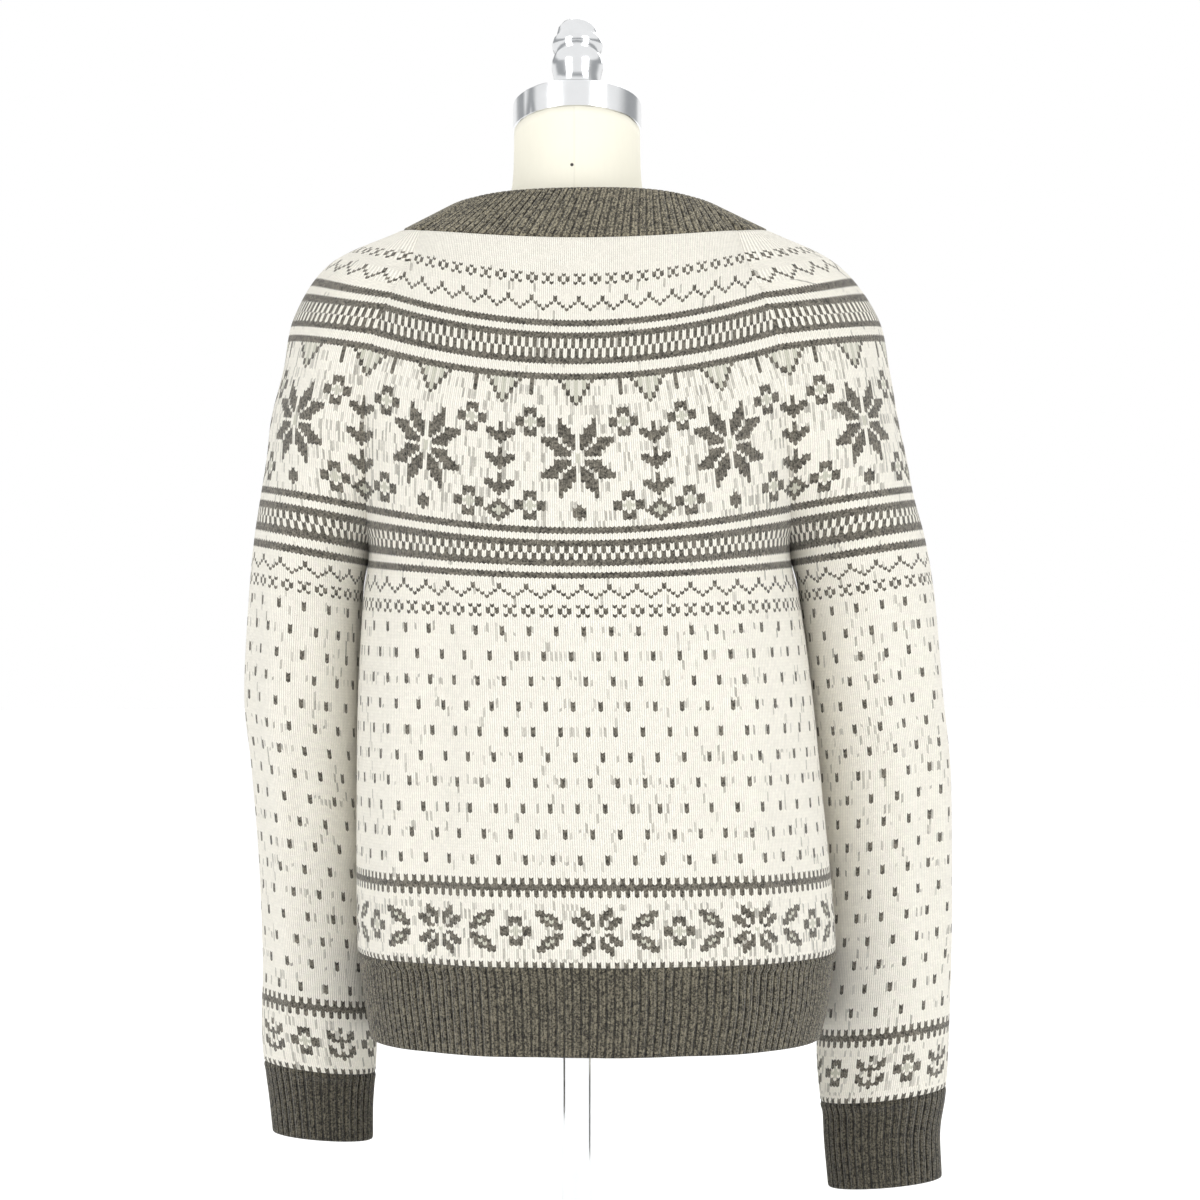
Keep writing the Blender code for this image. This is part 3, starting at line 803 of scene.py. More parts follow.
def mark_chart(lines, across, down, dark, grey):
    """Work a small chart whose first column is its centre line and whose other side mirrors it."""
    table = np.array([list(line) for line in lines])
    column = np.abs(across)
    inside = (column < table.shape[1]) & (down >= 0) & (down < table.shape[0])
    marks = np.full(len(across), ".")
    marks[inside] = table[down[inside], column[inside]]
    dark[marks == "X"] = 1.0
    grey[marks == "o"] = 1.0


def charted_band(lines, lines_row, lines_start, crosses_row, period):
    """A band of charted motifs with a diamond cross midway between them."""

    def chart(stitch, row):
        dark, grey = np.zeros((2, len(stitch)))
        mark_chart(lines, centred(stitch, period, lines_start), row - lines_row, dark, grey)
        cross(centred(stitch, period, lines_start + period // 2), row - crosses_row, dark, grey)
        return np.where(grey > 0, 0.0, dark), grey

    return chart


CHARTS = {
    "stripe": small_chart(lambda stitch, row: np.ones(len(stitch))),
    "ticks": small_chart(lambda stitch, row: (stitch + row // 2) % 2 != 0),
    "long_ticks": small_chart(lambda stitch, row: (stitch + row // 3) % 2 != 0),
    "rings": small_chart(ring_chart),
    "zigzag": small_chart(zigzag_chart),
    "comb": small_chart(lambda stitch, row: (row // 2 == 1) | ((stitch + row // 4) % 2 == 0)),
    "teeth": small_chart(lambda stitch, row: stitch % 2 == 0),
    "star_band": star_band_chart,
    "spray_band": charted_band(STAR_AND_LEAVES, 1, 0, 8, MOTIF_REPEAT),
    "cross_band": charted_band(TWIG, 2, 9, 7, MOTIF_REPEAT // 2),
}
FLOAT_BANDS = ("star_band", "spray_band", "cross_band")


def painter(lower_bands, seed, offsets=None):
    """A function that gives each leg's dark yarn, grey yarn and tone."""

    def paint(legs, rows, total):
        stitch = legs // 2 + (0 if offsets is None else offsets[rows])
        dark, grey = np.zeros((2, len(legs)))
        floats = np.full(len(legs), PLAIN_FLOATS)
        bands = list(YOKE_BANDS)
        bands += [(total - first, total - last, kind) for first, last, kind in lower_bands]
        dots_end = total - lower_bands[0][0] - 1
        for first, last, kind in bands:
            inside = (rows >= first) & (rows <= last)
            dark[inside], grey[inside] = CHARTS[kind](stitch[inside], rows[inside] - first)
            if kind in FLOAT_BANDS:
                floats[inside] = BAND_FLOATS
        dot_rows = (rows - DOTS_START) % DOTS_PITCH
        order = (rows - DOTS_START) // DOTS_PITCH
        dotted = (rows >= DOTS_START) & (rows - dot_rows + 3 < dots_end) & (dot_rows < 3)
        dots = dotted & ((stitch + 3 * (order % 2)) % 6 == 0)
        dark[dots] = 1.0
        floats[dotted & ~dots] = DOTTED_FLOATS
        runs = hash_noise(legs, rows // 3, seed) < floats
        ghost = runs & (dark == 0) & (grey == 0) & (rows > 12)
        dark[ghost] = GHOST_LEAST + GHOST_SPREAD * hash_noise(legs[ghost], rows[ghost] // 3, seed + 5)
        tone = hash_noise(stitch, rows, seed + 9)
        return dark, grey, tone

    return paint


def hem_loop(place):
    return np.concatenate([panel_line(place, True), panel_line(place, False)[1:]])


def neck_seam():
    return np.concatenate([
        panel_line(0, True),
        sleeve_line(0, 1)[1:],
        panel_line(0, False)[1:],
        sleeve_line(0, -1)[1:],
    ])


def neck_edge(seam):
    """The neckband's upper edge, a point above each point of the neck seam."""
    centre = (NECK_EDGE_LEFT + NECK_EDGE_RIGHT) / 2
    half = (NECK_EDGE_RIGHT - NECK_EDGE_LEFT) / 2
    seam_centre = (seam[:, 0].min() + seam[:, 0].max()) / 2
    seam_half = (seam[:, 0].max() - seam[:, 0].min()) / 2
    turn = np.arctan2(seam[:, 1] / NECK_EDGE_BACK, (seam[:, 0] - seam_centre) / seam_half)
    depth = np.where(np.sin(turn) < 0, NECK_EDGE_BACK, NECK_EDGE_FRONT)
    rise_end = np.where(np.sin(turn) < 0, NECK_RISE_BACK, NECK_RISE_FRONT)
    z = seam[:, 2] + NECK_RISE_SIDE + (rise_end - NECK_RISE_SIDE) * np.sin(turn) ** 2
    return np.stack([centre + half * np.cos(turn), depth * np.sin(turn), z], axis=1)


def resampled(line, count):
    """A closed polyline's points at equal steps of its length, without the repeated last one."""
    run = path_lengths(line)
    return along_line(np.arange(count) * run[-1] / count, run, line)


def loop_normals(points):
    down = np.gradient(points, axis=0)
    along = np.roll(points, -1, axis=1) - np.roll(points, 1, axis=1)
    return unit(np.cross(down, along))


def rib_mesh(name, loops, pitch, upward):
    """A closed band of rib. loops run from the seam to the free edge, two to a row."""
    girth = np.mean([path_lengths(loop)[-1] for loop in loops])
    count = int(round(girth / pitch)) * len(RIB_PROFILE)
    points = np.array([resampled(loop, count) for loop in loops])
    way_down = -1 if upward else 1
    normals = loop_normals(points) * way_down
    rows = (len(loops) - 1) // 2
    phase = np.arange(count) % len(RIB_PROFILE)
    relief = np.array(RIB_PROFILE)[phase]
    drop = np.array(RIB_DROP)[phase]
    layers = []
    for row in range(rows + 1):
        fade = smooth_step(np.array(min(row + 0.6, rows - row + 1.2) / 1.6))
        wanted = np.clip(2 * row + 2 * way_down * drop * (0 < row < rows), 0, len(loops) - 1)
        low = np.floor(wanted).astype(int)
        high = np.minimum(low + 1, len(loops) - 1)
        part = (wanted - low)[:, None]
        pick = np.arange(count)
        here = points[low, pick] * (1 - part) + points[high, pick] * part
        out = unit(normals[low, pick])
        layers.append(here + out * (relief * fade - SEAM_CURL * (row == 0))[:, None])
    end, end_normal = points[-1], unit(normals[-1])
    way = unit(points[-1] - points[-3])
    for angle in (45, 90, 135):
        turn = math.radians(angle)
        depth = WALL / 2 * (1 - math.cos(turn))
        lift = (relief * math.cos(turn) * 0.5)[:, None] if angle < 90 else 0.0
        layers.append(end + way * (WALL / 2 * math.sin(turn)) - end_normal * (depth - lift))
    for at in np.linspace(len(loops) - 1, 0, RIB_LINING_ROWS).round().astype(int):
        inward = WALL - (WALL - SEAM_CURL) * 0.4 * (at == 0)
        layers.append(points[at] - unit(normals[at]) * (inward + relief * 0.25)[:, None])
    grid = np.array(layers)
    ids = np.arange(len(grid) * count).reshape(-1, count)
    after = np.roll(ids, -1, axis=1)
    corners = [ids, np.roll(ids, -1, axis=0), np.roll(after, -1, axis=0), after]
    faces = np.stack(corners, axis=-1).reshape(-1, 4)
    if upward:
        faces = faces[:, ::-1]
    mesh = new_mesh(name, grid.reshape(-1, 3), faces.tolist())
    layer_of, column_of = np.divmod(np.arange(ids.size), count)
    tone = hash_noise(column_of // 3, layer_of, 3.0)
    # Painted shadow: each strip's share of shade in the valleys and grooves, kept in the attribute for the
    # rib's colour.
    hollow = np.array(RIB_VALLEY_SHADE)[column_of % len(RIB_VALLEY_SHADE)]
    solid = np.ones(len(tone))
    values = np.stack([solid, hollow, tone, solid], axis=-1)
    set_colours(mesh, values, 4)
    uv = mesh.uv_layers.new(name="legs")
    square = np.array([(0, 0), (0, -1), (1, -1), (1, 0)])
    if upward:
        square = square[::-1]
    base = np.stack([column_of / 1.5, -layer_of], axis=-1)[:, None, :]
    uv.data.foreach_set("uv", (base + square[None] * (1 / 1.5, 1)).astype(np.float32).ravel())
    mesh.shade_smooth()
    return add_object(name, mesh), girth


def new_material(name):
    material = bpy.data.materials.new(name)
    material.use_nodes = True
    return material, material.node_tree


def add_node(tree, kind, **settings):
    node = tree.nodes.new(kind)
    for key, value in settings.items():
        if key in node.inputs:
            node.inputs[key].default_value = value
        else:
            setattr(node, key, value)
    return node


def feed(tree, socket, value):
    """Set a socket to a plain value, or link another node's output to it."""
    if isinstance(value, (int, float, tuple)):
        socket.default_value = value
    else:
        tree.links.new(value, socket)


def math_node(tree, operation, *values, clamp=False):
    node = add_node(tree, "ShaderNodeMath", operation=operation, use_clamp=clamp)
    for socket, value in zip(node.inputs, values):
        feed(tree, socket, value)
    return node.outputs[0]


def mix_colour(tree, factor, first, second, blend="MIX"):
    node = add_node(tree, "ShaderNodeMix", data_type="RGBA", blend_type=blend)
    for index, value in ((0, factor), (6, first), (7, second)):
        feed(tree, node.inputs[index], value)
    return node.outputs[2]


def noise(tree, scale, detail, stretch=None):
    source = tree.nodes.new("ShaderNodeTexCoord").outputs["Object"]
    if stretch is not None:
        mapping = add_node(tree, "ShaderNodeMapping", Scale=stretch)
        tree.links.new(source, mapping.inputs["Vector"])
        source = mapping.outputs[0]
    node = add_node(tree, "ShaderNodeTexNoise", Scale=scale, Detail=detail, Roughness=0.6)
    tree.links.new(source, node.inputs["Vector"])
    return node.outputs["Fac"]


def toned(colour, factor, lift=0.0):
    """A colour made lighter or deeper by a factor."""
    return tuple(min(channel * factor + lift, 1.0) for channel in colour[:3]) + (1.0,)


def finish(tree, colour, height, bump, rough, **inputs):
    """Wire a shader's colour, bump (strength, distance) and roughness, and set its other inputs."""
    shader = tree.nodes["Principled BSDF"]
    feed(tree, shader.inputs["Base Color"], colour)
    relief = add_node(tree, "ShaderNodeBump", Strength=bump[0], Distance=bump[1])
    tree.links.new(height, relief.inputs["Height"])
    tree.links.new(relief.outputs[0], shader.inputs["Normal"])
    feed(tree, shader.inputs["Roughness"], rough)
    for key, value in inputs.items():
        shader.inputs[key.replace("_", " ")].default_value = value


def wave(tree, value, turn):
    return math_node(tree, "SINE", math_node(tree, "MULTIPLY", value, turn))


def leg_relief(tree):
    """Height of a stitch's leg across its width and along its row, from the map of legs."""
    uv = add_node(tree, "ShaderNodeUVMap", uv_map="legs")
    split = tree.nodes.new("ShaderNodeSeparateXYZ")
    tree.links.new(uv.outputs[0], split.inputs[0])
    across, along = (
        wave(tree, math_node(tree, "FRACT", part), math.pi) for part in (split.outputs[0], split.outputs[1])
    )
    lobes = math_node(tree, "MULTIPLY", across, math_node(tree, "MULTIPLY_ADD", along, 0.35, 0.65))
    return math_node(tree, "POWER", lobes, 0.7)


WOOL_SHEEN = {"Specular_IOR_Level": 0.25, "Sheen_Weight": 0.22, "Sheen_Roughness": 0.5}


def yarn_channels(tree):
    """The dark share, the grey share or the ribs' painted valley shadow, and the tone that the knitting's
    attribute holds.
    """
    yarn = add_node(tree, "ShaderNodeAttribute", attribute_name="yarn")
    channels = tree.nodes.new("ShaderNodeSeparateColor")
    tree.links.new(yarn.outputs["Color"], channels.inputs[0])
    return channels.outputs


def marled(tree, tone, scale, spread, offset, share, deeper, lighter):
    """Yarn spun from two shades, chosen by flecks of noise and by each stitch's tone."""
    fleck = math_node(tree, "MULTIPLY_ADD", noise(tree, scale, 3.0), spread, offset)
    heather = math_node(tree, "ADD", fleck, math_node(tree, "MULTIPLY", tone, share), clamp=True)
    return mix_colour(tree, heather, deeper, lighter)


def yarn_material(name, cream, charcoal, grey):
    """Wool yarn: heathered dark stitches, pale stitches with loose fibres, rounded legs with painted shade in
    the creases between them.
    """
    material, tree = new_material(name)
    dark, pale_grey, tone = yarn_channels(tree)
    fine = noise(tree, 2300.0, 2.0)
    dark_yarn = marled(tree, tone, 620.0, 2.8, -1.08, 0.34, toned(charcoal, 0.36), toned(charcoal, 3.3, 0.02))
    shade = math_node(
        tree,
        "MULTIPLY",
        math_node(tree, "MULTIPLY_ADD", tone, 0.07, 0.93),
        math_node(tree, "MULTIPLY_ADD", noise(tree, 26.0, 3.0), 0.06, 0.97),
    )
    pale = mix_colour(tree, 1.0, cream, shade, "MULTIPLY")
    colour = mix_colour(tree, dark, mix_colour(tree, pale_grey, pale, grey), dark_yarn)
    relief = leg_relief(tree)
    # Painted shade: the colour is darkened where each leg dips into the crease beside it.
    crease = math_node(tree, "MULTIPLY_ADD", relief, 0.22, 0.82)
    finish(
        tree,
        mix_colour(tree, 1.0, colour, crease, "MULTIPLY"),
        math_node(tree, "ADD", relief, math_node(tree, "MULTIPLY", fine, 0.35)),
        (0.75, 0.0011),
        math_node(tree, "MULTIPLY_ADD", fine, 0.14, 0.82),
        **WOOL_SHEEN,
    )
    return material


def rib_material(name, charcoal, tone_and_painted_light):
    """Marled dark wool in ribs, with painted shade in the creases between legs and painted shadow darkest in
    the valleys.
    """
    material, tree = new_material(name)
    _, valley_shade, tone = yarn_channels(tree)
    fine = noise(tree, 2500.0, 2.0)
    warm = (charcoal[0], charcoal[1] * 0.98, charcoal[2] * 0.88)
    # The factor is the rib's own tone, with painted shade on the cuffs and painted light on the neckband.
    deeper, lighter = toned(warm, 0.7 * tone_and_painted_light), toned(warm, 5.9 * tone_and_painted_light)
    colour = marled(tree, tone, 700.0, 4.6, -2.07, 0.5, deeper, lighter)
    relief = leg_relief(tree)
    # Painted shade between the legs, and painted shadow, broken up by noise, in the valleys and grooves.
    crease = math_node(tree, "MULTIPLY_ADD", relief, 0.34, 0.70)
    broken_shade = math_node(tree, "MULTIPLY_ADD", noise(tree, 330.0, 2.0, (1.0, 1.0, 0.5)), -1.5, 0.10)
    hollow = math_node(tree, "MULTIPLY_ADD", valley_shade, broken_shade, 1.0, clamp=True)
    finish(
        tree,
        mix_colour(tree, 1.0, colour, math_node(tree, "MULTIPLY", crease, hollow), "MULTIPLY"),
        math_node(tree, "ADD", relief, math_node(tree, "MULTIPLY", fine, 0.4)),
        (0.8, 0.0011),
        math_node(tree, "MULTIPLY_ADD", fine, 0.12, 0.84),
        **{**WOOL_SHEEN, "Sheen_Weight": 0.3},
    )
    return material


# A dark pin head in the cloth at the back of the neck, and the cloth's weave and centre back seam
PIN_AT = (-0.0036, -0.0503, 0.8957)
PIN_RADIUS = 0.0016
PIN_COLOUR = (0.05, 0.045, 0.04, 1.0)
THREAD_PITCH = 0.0009
SEAM_SIDE = 0.002
SEAM_FADE = 900.0


def cloth_material(name, colour):
    """Closely woven ivory cotton with a centre back seam on the neck."""
    material, tree = new_material(name)
    position = tree.nodes.new("ShaderNodeTexCoord").outputs["Object"]
    split = tree.nodes.new("ShaderNodeSeparateXYZ")
    tree.links.new(position, split.inputs[0])
    x, y, z = split.outputs
    warp, weft = (wave(tree, part, 2 * math.pi / THREAD_PITCH) for part in (x, z))
    weave = math_node(tree, "MULTIPLY", math_node(tree, "MULTIPLY", warp, weft), 0.12)
    patch = noise(tree, 18.0, 3.0)
    slub = noise(tree, 300.0, 2.0, (1.0, 1.0, 0.15))
    aside = math_node(tree, "ABSOLUTE", math_node(tree, "ADD", x, SEAM_SIDE))
    near = math_node(tree, "SUBTRACT", 1.0, math_node(tree, "MULTIPLY", aside, SEAM_FADE), clamp=True)
    seam = math_node(tree, "MULTIPLY", near, math_node(tree, "LESS_THAN", y, 0.0))
    tint = math_node(tree, "MULTIPLY_ADD", slub, 0.25, math_node(tree, "MULTIPLY", patch, 0.3))
    base = mix_colour(tree, tint, colour, toned(colour, 0.86))
    sewn = mix_colour(tree, math_node(tree, "MULTIPLY", seam, 0.25), base, toned(colour, 0.7))
    pin = add_node(tree, "ShaderNodeVectorMath", operation="DISTANCE")
    tree.links.new(position, pin.inputs[0])
    pin.inputs[1].default_value = PIN_AT
    pinned = math_node(tree, "LESS_THAN", pin.outputs["Value"], PIN_RADIUS)
    finish(
        tree,
        mix_colour(tree, pinned, sewn, PIN_COLOUR),
        math_node(tree, "SUBTRACT", weave, math_node(tree, "MULTIPLY", seam, 0.4)),
        (0.35, 0.0006),
        math_node(tree, "MULTIPLY_ADD", patch, 0.12, 0.72),
        Sheen_Weight=0.15,
    )
    return material


def chrome_material(name, colour, roughness):
    """Polished chrome with faint wiping marks."""
    material, tree = new_material(name)
    smear = noise(tree, 55.0, 4.0)
    finish(
        tree,
        mix_colour(tree, smear, toned(colour, 0.86), colour),
        noise(tree, 420.0, 3.0, (1.0, 1.0, 6.0)),
        (0.08, 0.0002),
        math_node(tree, "MULTIPLY_ADD", smear, 0.06, roughness),
        Metallic=1.0,
    )
    return material


def iron_material(name, colour):
    """Satin black coated iron with a faint orange-peel."""
    material, tree = new_material(name)
    dust = noise(tree, 14.0, 4.0)
    finish(
        tree,
        mix_colour(tree, math_node(tree, "MULTIPLY", dust, 0.7), colour, toned(colour, 1.9, 0.01)),
        noise(tree, 900.0, 2.0),
        (0.22, 0.0004),
        math_node(tree, "MULTIPLY_ADD", dust, 0.22, 0.34),
    )
    return material


# The studio's soft grey band, by the upward part of a direction: its foot, its top and its soft edge
BAND_FOOT = 0.20
BAND_TOP = 0.46
BAND_EDGE = 10.0
BAND_GREY = (0.40, 0.41, 0.42, 1.0)
FLOOR_RADIUS = 14.0
# Lamps, all turned to one point: name, place, size, power
LAMPS = (
    ("key", (2.3, -2.5, 2.5), 1.7, 34.0),
    ("fill", (-2.3, -2.5, 2.4), 1.7, 26.0),
    ("rim", (0.6, 2.8, 2.6), 2.0, 24.0),
)
LAMP_TARGET = (0.0, 0.0, 0.55)
CAMERA_SIDE = 0.018
CAMERA_HEIGHT = 0.56


def dress(item, material):
    """Put one material on an object in place of what it has."""
    item.data.materials.clear()
    item.data.materials.append(material)


def smooth_copy(node, levels, crease, angle):
    """A solid's copy with its loose triangles merged into quads, rounded and smoothly shaded."""
    bpy.ops.object.select_all(action="DESELECT")
    item = add_object("smooth_" + node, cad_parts[node].data.copy())
    bpy.context.view_layer.objects.active = item
    item.select_set(True)
    bpy.ops.object.mode_set(mode="EDIT")
    bpy.ops.mesh.select_all(action="SELECT")
    bpy.ops.mesh.remove_doubles(threshold=MERGE_REACH)
    bpy.ops.mesh.tris_convert_to_quads(face_threshold=angle, shape_threshold=angle)
    bpy.ops.mesh.select_all(action="DESELECT")
    bpy.ops.mesh.edges_select_sharp(sharpness=crease)
    if levels:
        bpy.ops.transform.edge_crease(value=1.0)
    bpy.ops.object.mode_set(mode="OBJECT")
    if levels:
        rounding = item.modifiers.new("rounding", "SUBSURF")
        rounding.levels = levels
        rounding.render_levels = levels
        bpy.ops.object.modifier_apply(modifier=rounding.name)
    bpy.ops.object.shade_smooth_by_angle(angle=angle)
    return item


def place_sheet(item, node, flat, area):
    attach(item, "root")
    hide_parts(node)


def knit_piece(node, surface, paint, material):
    item = knit_mesh("knit_" + node, surface, paint)
    dress(item, material)
    place_sheet(item, node, (surface.flat_width(), surface.total), surface.flat_area())


def knit_panel_surface(is_back, row_height):
    return KnitSurface(lambda place: panel_line(place, is_back), HEM_SEAM, row_height, False)


def place_rib(node, loops, pitch, upward, material, tall):
    item, girth = rib_mesh("knit_" + node, loops, pitch, upward)
    dress(item, material)
    place_sheet(item, node, (girth, tall), girth * tall)


def studio_world():
    """White all round, with one soft grey band above eye height for the chrome to mirror."""
    world = bpy.data.worlds.new("soft_white")
    world.use_nodes = True
    tree = world.node_tree
    background = tree.nodes["Background"]
    background.inputs["Strength"].default_value = 1.0
    coordinates = tree.nodes.new("ShaderNodeTexCoord")
    split = tree.nodes.new("ShaderNodeSeparateXYZ")
    tree.links.new(coordinates.outputs["Generated"], split.inputs[0])
    above_foot = math_node(tree, "SUBTRACT", split.outputs[2], BAND_FOOT)
    below_top = math_node(tree, "SUBTRACT", BAND_TOP, split.outputs[2])
    lower_edge = math_node(tree, "MULTIPLY", above_foot, 3 * BAND_EDGE, clamp=True)
    upper_edge = math_node(tree, "MULTIPLY", below_top, BAND_EDGE, clamp=True)
    band = math_node(tree, "MULTIPLY", lower_edge, upper_edge)
    feed(tree, background.inputs["Color"], mix_colour(tree, band, (1.0, 1.0, 1.0, 1.0), BAND_GREY))
    return world


def colour_setting(name, description, colour):
    return bpy.props.FloatVectorProperty(
        name=name, description=description, default=colour + (1.0,), size=4, min=0.0, max=1.0, subtype="COLOR"
    )


def size_setting(name, description, size, least, most, precision=5):
    limits = {"default": size, "min": least, "max": most}
    return bpy.props.FloatProperty(
        name=name, description=description, unit="LENGTH", precision=precision, **limits
    )


class PulloverKnit(bpy.types.PropertyGroup):
    """Sizes and colours of the knitting."""

    row_height: size_setting("Row height", "Height of one knitted row", 2.405 * MM, 1.0 * MM, 8.0 * MM)
    rib_pitch: size_setting("Rib pitch", "Distance between the ribs", 6.3 * MM, 3.0 * MM, 15.0 * MM)
    cream: colour_setting("Cream yarn", "Colour of the ground yarn", (0.955, 0.92, 0.82))
    charcoal: colour_setting("Charcoal yarn", "Middle of the heathered dark yarn", (0.078, 0.071, 0.056))
    grey: colour_setting("Light grey yarn", "Colour of the small grey fields", (0.62, 0.61, 0.51))


class PulloverForm(bpy.types.PropertyGroup):
    """Finishes of the dress form and its stand."""

    cloth: colour_setting("Form cloth", "Colour of the cloth over the form", (0.90, 0.87, 0.74))
    metal: colour_setting("Chrome", "Colour of the cap, the knob and the pole", (0.86, 0.87, 0.88))
    polish: bpy.props.FloatProperty(
        name="Chrome roughness", description="Roughness of the polished metal", default=0.11, min=0.0, max=1.0
    )
    iron: colour_setting("Base", "Colour of the coated iron base", (0.030, 0.030, 0.031))


class PulloverStage(bpy.types.PropertyGroup):
    """Floor, lights and camera."""

    floor: colour_setting("Floor", "Colour of the floor and the backdrop", (0.97, 0.97, 0.97))
    distance: size_setting("Camera distance", "From the camera to the middle of the form", 2.5, 0.5, 10.0, 2)
    lens: bpy.props.FloatProperty(
        name="Lens", description="Focal length on a 36 mm sensor, in mm", default=95.25, min=20.0, max=300.0
    )


class PULLOVER_OT_panels(bpy.types.Operator):
    """Knit the back and front panels"""

    bl_idname = "pullover.panels"
    bl_label = "Knit the panels"

    def execute(self, context):
        settings = context.scene.pullover_knit
        yarns = [tuple(yarn) for yarn in (settings.cream, settings.charcoal, settings.grey)]
        material = yarn_material("stranded_wool", *yarns)
        for name, is_back, seed in (("back_panel", True, 1), ("front_panel", False, 2)):
            surface = knit_panel_surface(is_back, settings.row_height / MM)
            knit_piece(name, surface, painter(HEM_BANDS, seed), material)
        return {"FINISHED"}


class PULLOVER_OT_sleeves(bpy.types.Operator):
    """Knit both sleeves"""

    bl_idname = "pullover.sleeves"
    bl_label = "Knit the sleeves"

    def execute(self, context):
        row_height = context.scene.pullover_knit.row_height / MM
        material = bpy.data.materials["stranded_wool"]
        back = knit_panel_surface(True, row_height)
        for name, side in (("left_sleeve", -1), ("right_sleeve", 1)):
            surface = KnitSurface(lambda place: sleeve_line(place, side), CUFF_SEAM, row_height, True)
            paint = painter(CUFF_BANDS, 4 + side, run_on_offsets(back, surface, side))
            knit_piece(name, surface, paint, material)
        return {"FINISHED"}


class PULLOVER_OT_ribs(bpy.types.Operator):
    """Knit the neckband, the hem and the cuffs"""

    bl_idname = "pullover.ribs"
    bl_label = "Knit the ribs"

    def execute(self, context):
        settings = context.scene.pullover_knit
        pitch = settings.rib_pitch / MM
        row_height = settings.row_height / MM
        # Three copies of one rib wool: the cuffs' copy is darker as painted shade, the neckband's lighter as
        # painted light.
        hem, cuff, collar = (
            rib_material(name, tuple(settings.charcoal), tone_and_painted_light) for name, tone_and_painted_light in RIB_TONE_AND_PAINTED_LIGHT
        )
        for name, loop_at, first, last, wool in (
            ("hem_rib", hem_loop, HEM_SEAM, HEM_EDGE, hem),
            ("left_cuff", lambda place: sleeve_line(place, -1), CUFF_SEAM, CUFF_EDGE, cuff),
            ("right_cuff", lambda place: sleeve_line(place, 1), CUFF_SEAM, CUFF_EDGE, cuff),
        ):
            places = np.linspace(first, last, RIB_STEPS)
            tall = path_lengths(np.array([loop_at(place) for place in places])).mean(axis=1)
            rows = int(round(tall[-1] / row_height))
            levels = np.interp(np.linspace(0, tall[-1], 2 * rows + 1), tall, places)
            place_rib(name, [loop_at(place) for place in levels], pitch, False, wool, tall[-1])
        seam = neck_seam()
        edge = neck_edge(seam)
        rows = int(round(NECK_RISE_BACK / row_height))
        loops = [seam + (edge - seam) * share for share in np.linspace(0, 1, 2 * rows + 1)]
        tall = float(np.linalg.norm(edge - seam, axis=1).mean())
        place_rib("neckband", loops, pitch * NECKBAND_PITCH, True, collar, tall)
        return {"FINISHED"}


class PULLOVER_OT_form(bpy.types.Operator):
    """Finish the dress form, its cap and knob, the pole and the base"""

    bl_idname = "pullover.form"
    bl_label = "Finish the form and the stand"

    def execute(self, context):
        settings = context.scene.pullover_form
        chrome = chrome_material("chrome", tuple(settings.metal), settings.polish)
        cloth = cloth_material("ivory_cloth", tuple(settings.cloth))
        iron = iron_material("black_iron", tuple(settings.iron))
        for node, levels, crease, angle, material, slot in (
            ("form_torso", 2, 62, 62, cloth, "ivory_cloth"),
            ("neck_cap", 0, 40, 40, chrome, "chrome"),
            ("finial", 0, 24, 34, chrome, "chrome"),
            ("pole", 0, 40, 40, chrome, "chrome"),
            ("base", 0, 35, 35, iron, "black_iron"),
        ):
            item = smooth_copy(node, levels, math.radians(crease), math.radians(angle))
            dress(item, material)
            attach(item, "root")
            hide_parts(node)
        return {"FINISHED"}


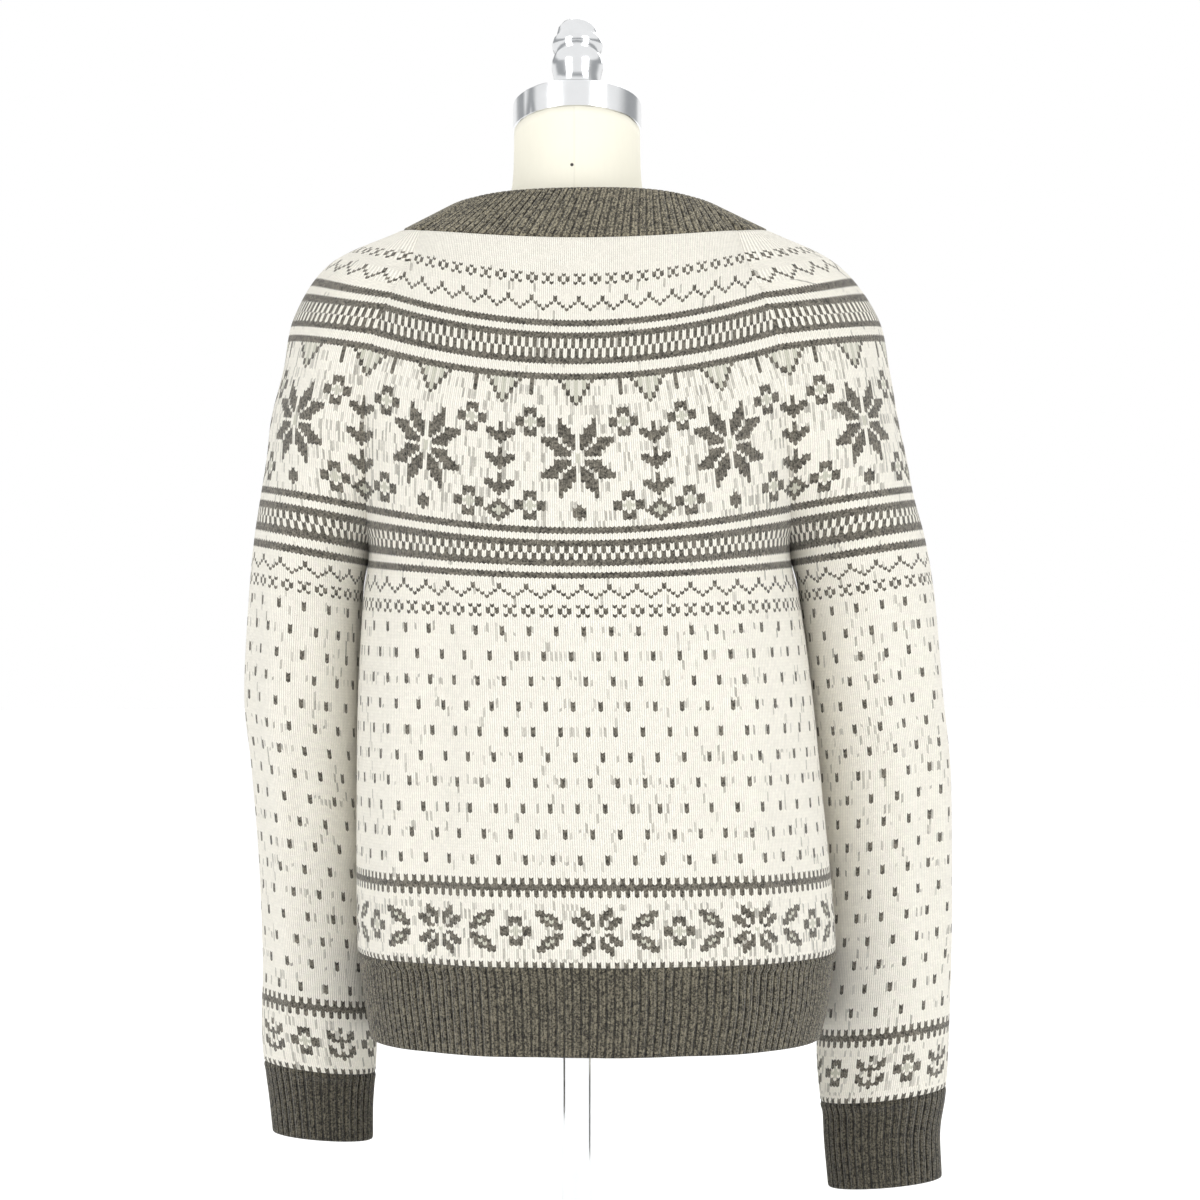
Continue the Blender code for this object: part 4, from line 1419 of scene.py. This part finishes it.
class PULLOVER_OT_stage(bpy.types.Operator):
    """Set up the floor, the backdrop, the lights and the camera"""

    bl_idname = "pullover.stage"
    bl_label = "Set up the stage"

    def execute(self, context):
        settings = context.scene.pullover_stage
        material, tree = new_material("pale_floor")
        shader = tree.nodes["Principled BSDF"]
        pale = tuple(settings.floor)
        mottled = mix_colour(tree, noise(tree, 0.8, 2.0), pale, toned(pale, 0.985))
        feed(tree, shader.inputs["Base Color"], mottled)
        shader.inputs["Roughness"].default_value = 0.95
        shader.inputs["Specular IOR Level"].default_value = 0.1
        shader.inputs["Emission Color"].default_value = (1.0, 1.0, 1.0, 1.0)
        shader.inputs["Emission Strength"].default_value = 0.15
        bpy.ops.object.select_all(action="DESELECT")
        bpy.ops.mesh.primitive_circle_add(vertices=96, radius=FLOOR_RADIUS, fill_type="NGON")
        floor = context.object
        floor.name = "floor"
        dress(floor, material)
        context.scene.view_settings.view_transform = "Standard"
        context.scene.world = studio_world()
        for name, place, size, power in LAMPS:
            lamp = bpy.data.lights.new(name, "AREA")
            lamp.size = size
            lamp.energy = power
            item = bpy.data.objects.new(name, lamp)
            item.location = place
            context.scene.collection.objects.link(item)
            x, y, z = np.array(LAMP_TARGET) - np.array(place)
            item.rotation_euler = (math.atan2(math.hypot(x, y), -z), 0, math.atan2(x, -y) + math.pi)
        camera = bpy.data.cameras.new("camera")
        camera.lens = settings.lens
        camera.sensor_width = 36.0
        camera.sensor_fit = "HORIZONTAL"
        camera.clip_end = 60.0
        item = bpy.data.objects.new("camera", camera)
        item.location = (CAMERA_SIDE, -settings.distance, CAMERA_HEIGHT)
        item.rotation_euler = (math.pi / 2, 0, 0)
        context.scene.collection.objects.link(item)
        context.scene.camera = item
        return {"FINISHED"}


class PULLOVER_PT_sidebar(bpy.types.Panel):
    bl_label = "Pullover"
    bl_idname = "PULLOVER_PT_sidebar"
    bl_space_type = "VIEW_3D"
    bl_region_type = "UI"
    bl_category = "Pullover"

    def draw(self, context):
        scene = context.scene
        for group, operators in (
            (scene.pullover_knit, ("pullover.panels", "pullover.sleeves", "pullover.ribs")),
            (scene.pullover_form, ("pullover.form",)),
            (scene.pullover_stage, ("pullover.stage",)),
        ):
            box = self.layout.box()
            for name in group.bl_rna.properties.keys():
                if name not in {"rna_type", "name"}:
                    box.prop(group, name)
            for operator in operators:
                box.operator(operator)


CLASSES = (
    PulloverKnit,
    PulloverForm,
    PulloverStage,
    PULLOVER_OT_panels,
    PULLOVER_OT_sleeves,
    PULLOVER_OT_ribs,
    PULLOVER_OT_form,
    PULLOVER_OT_stage,
    PULLOVER_PT_sidebar,
)


GROUPS = {"pullover_knit": PulloverKnit, "pullover_form": PulloverForm, "pullover_stage": PulloverStage}


def register():
    for item in CLASSES:
        bpy.utils.register_class(item)
    for name, group in GROUPS.items():
        setattr(bpy.types.Scene, name, bpy.props.PointerProperty(type=group))


def unregister():
    for name in GROUPS:
        delattr(bpy.types.Scene, name)
    for item in reversed(CLASSES):
        bpy.utils.unregister_class(item)


def main():
    register()
    bpy.ops.pullover.stage()
    bpy.ops.pullover.panels()
    bpy.ops.pullover.sleeves()
    bpy.ops.pullover.ribs()
    bpy.ops.pullover.form()


if __name__ == "__main__":
    main()
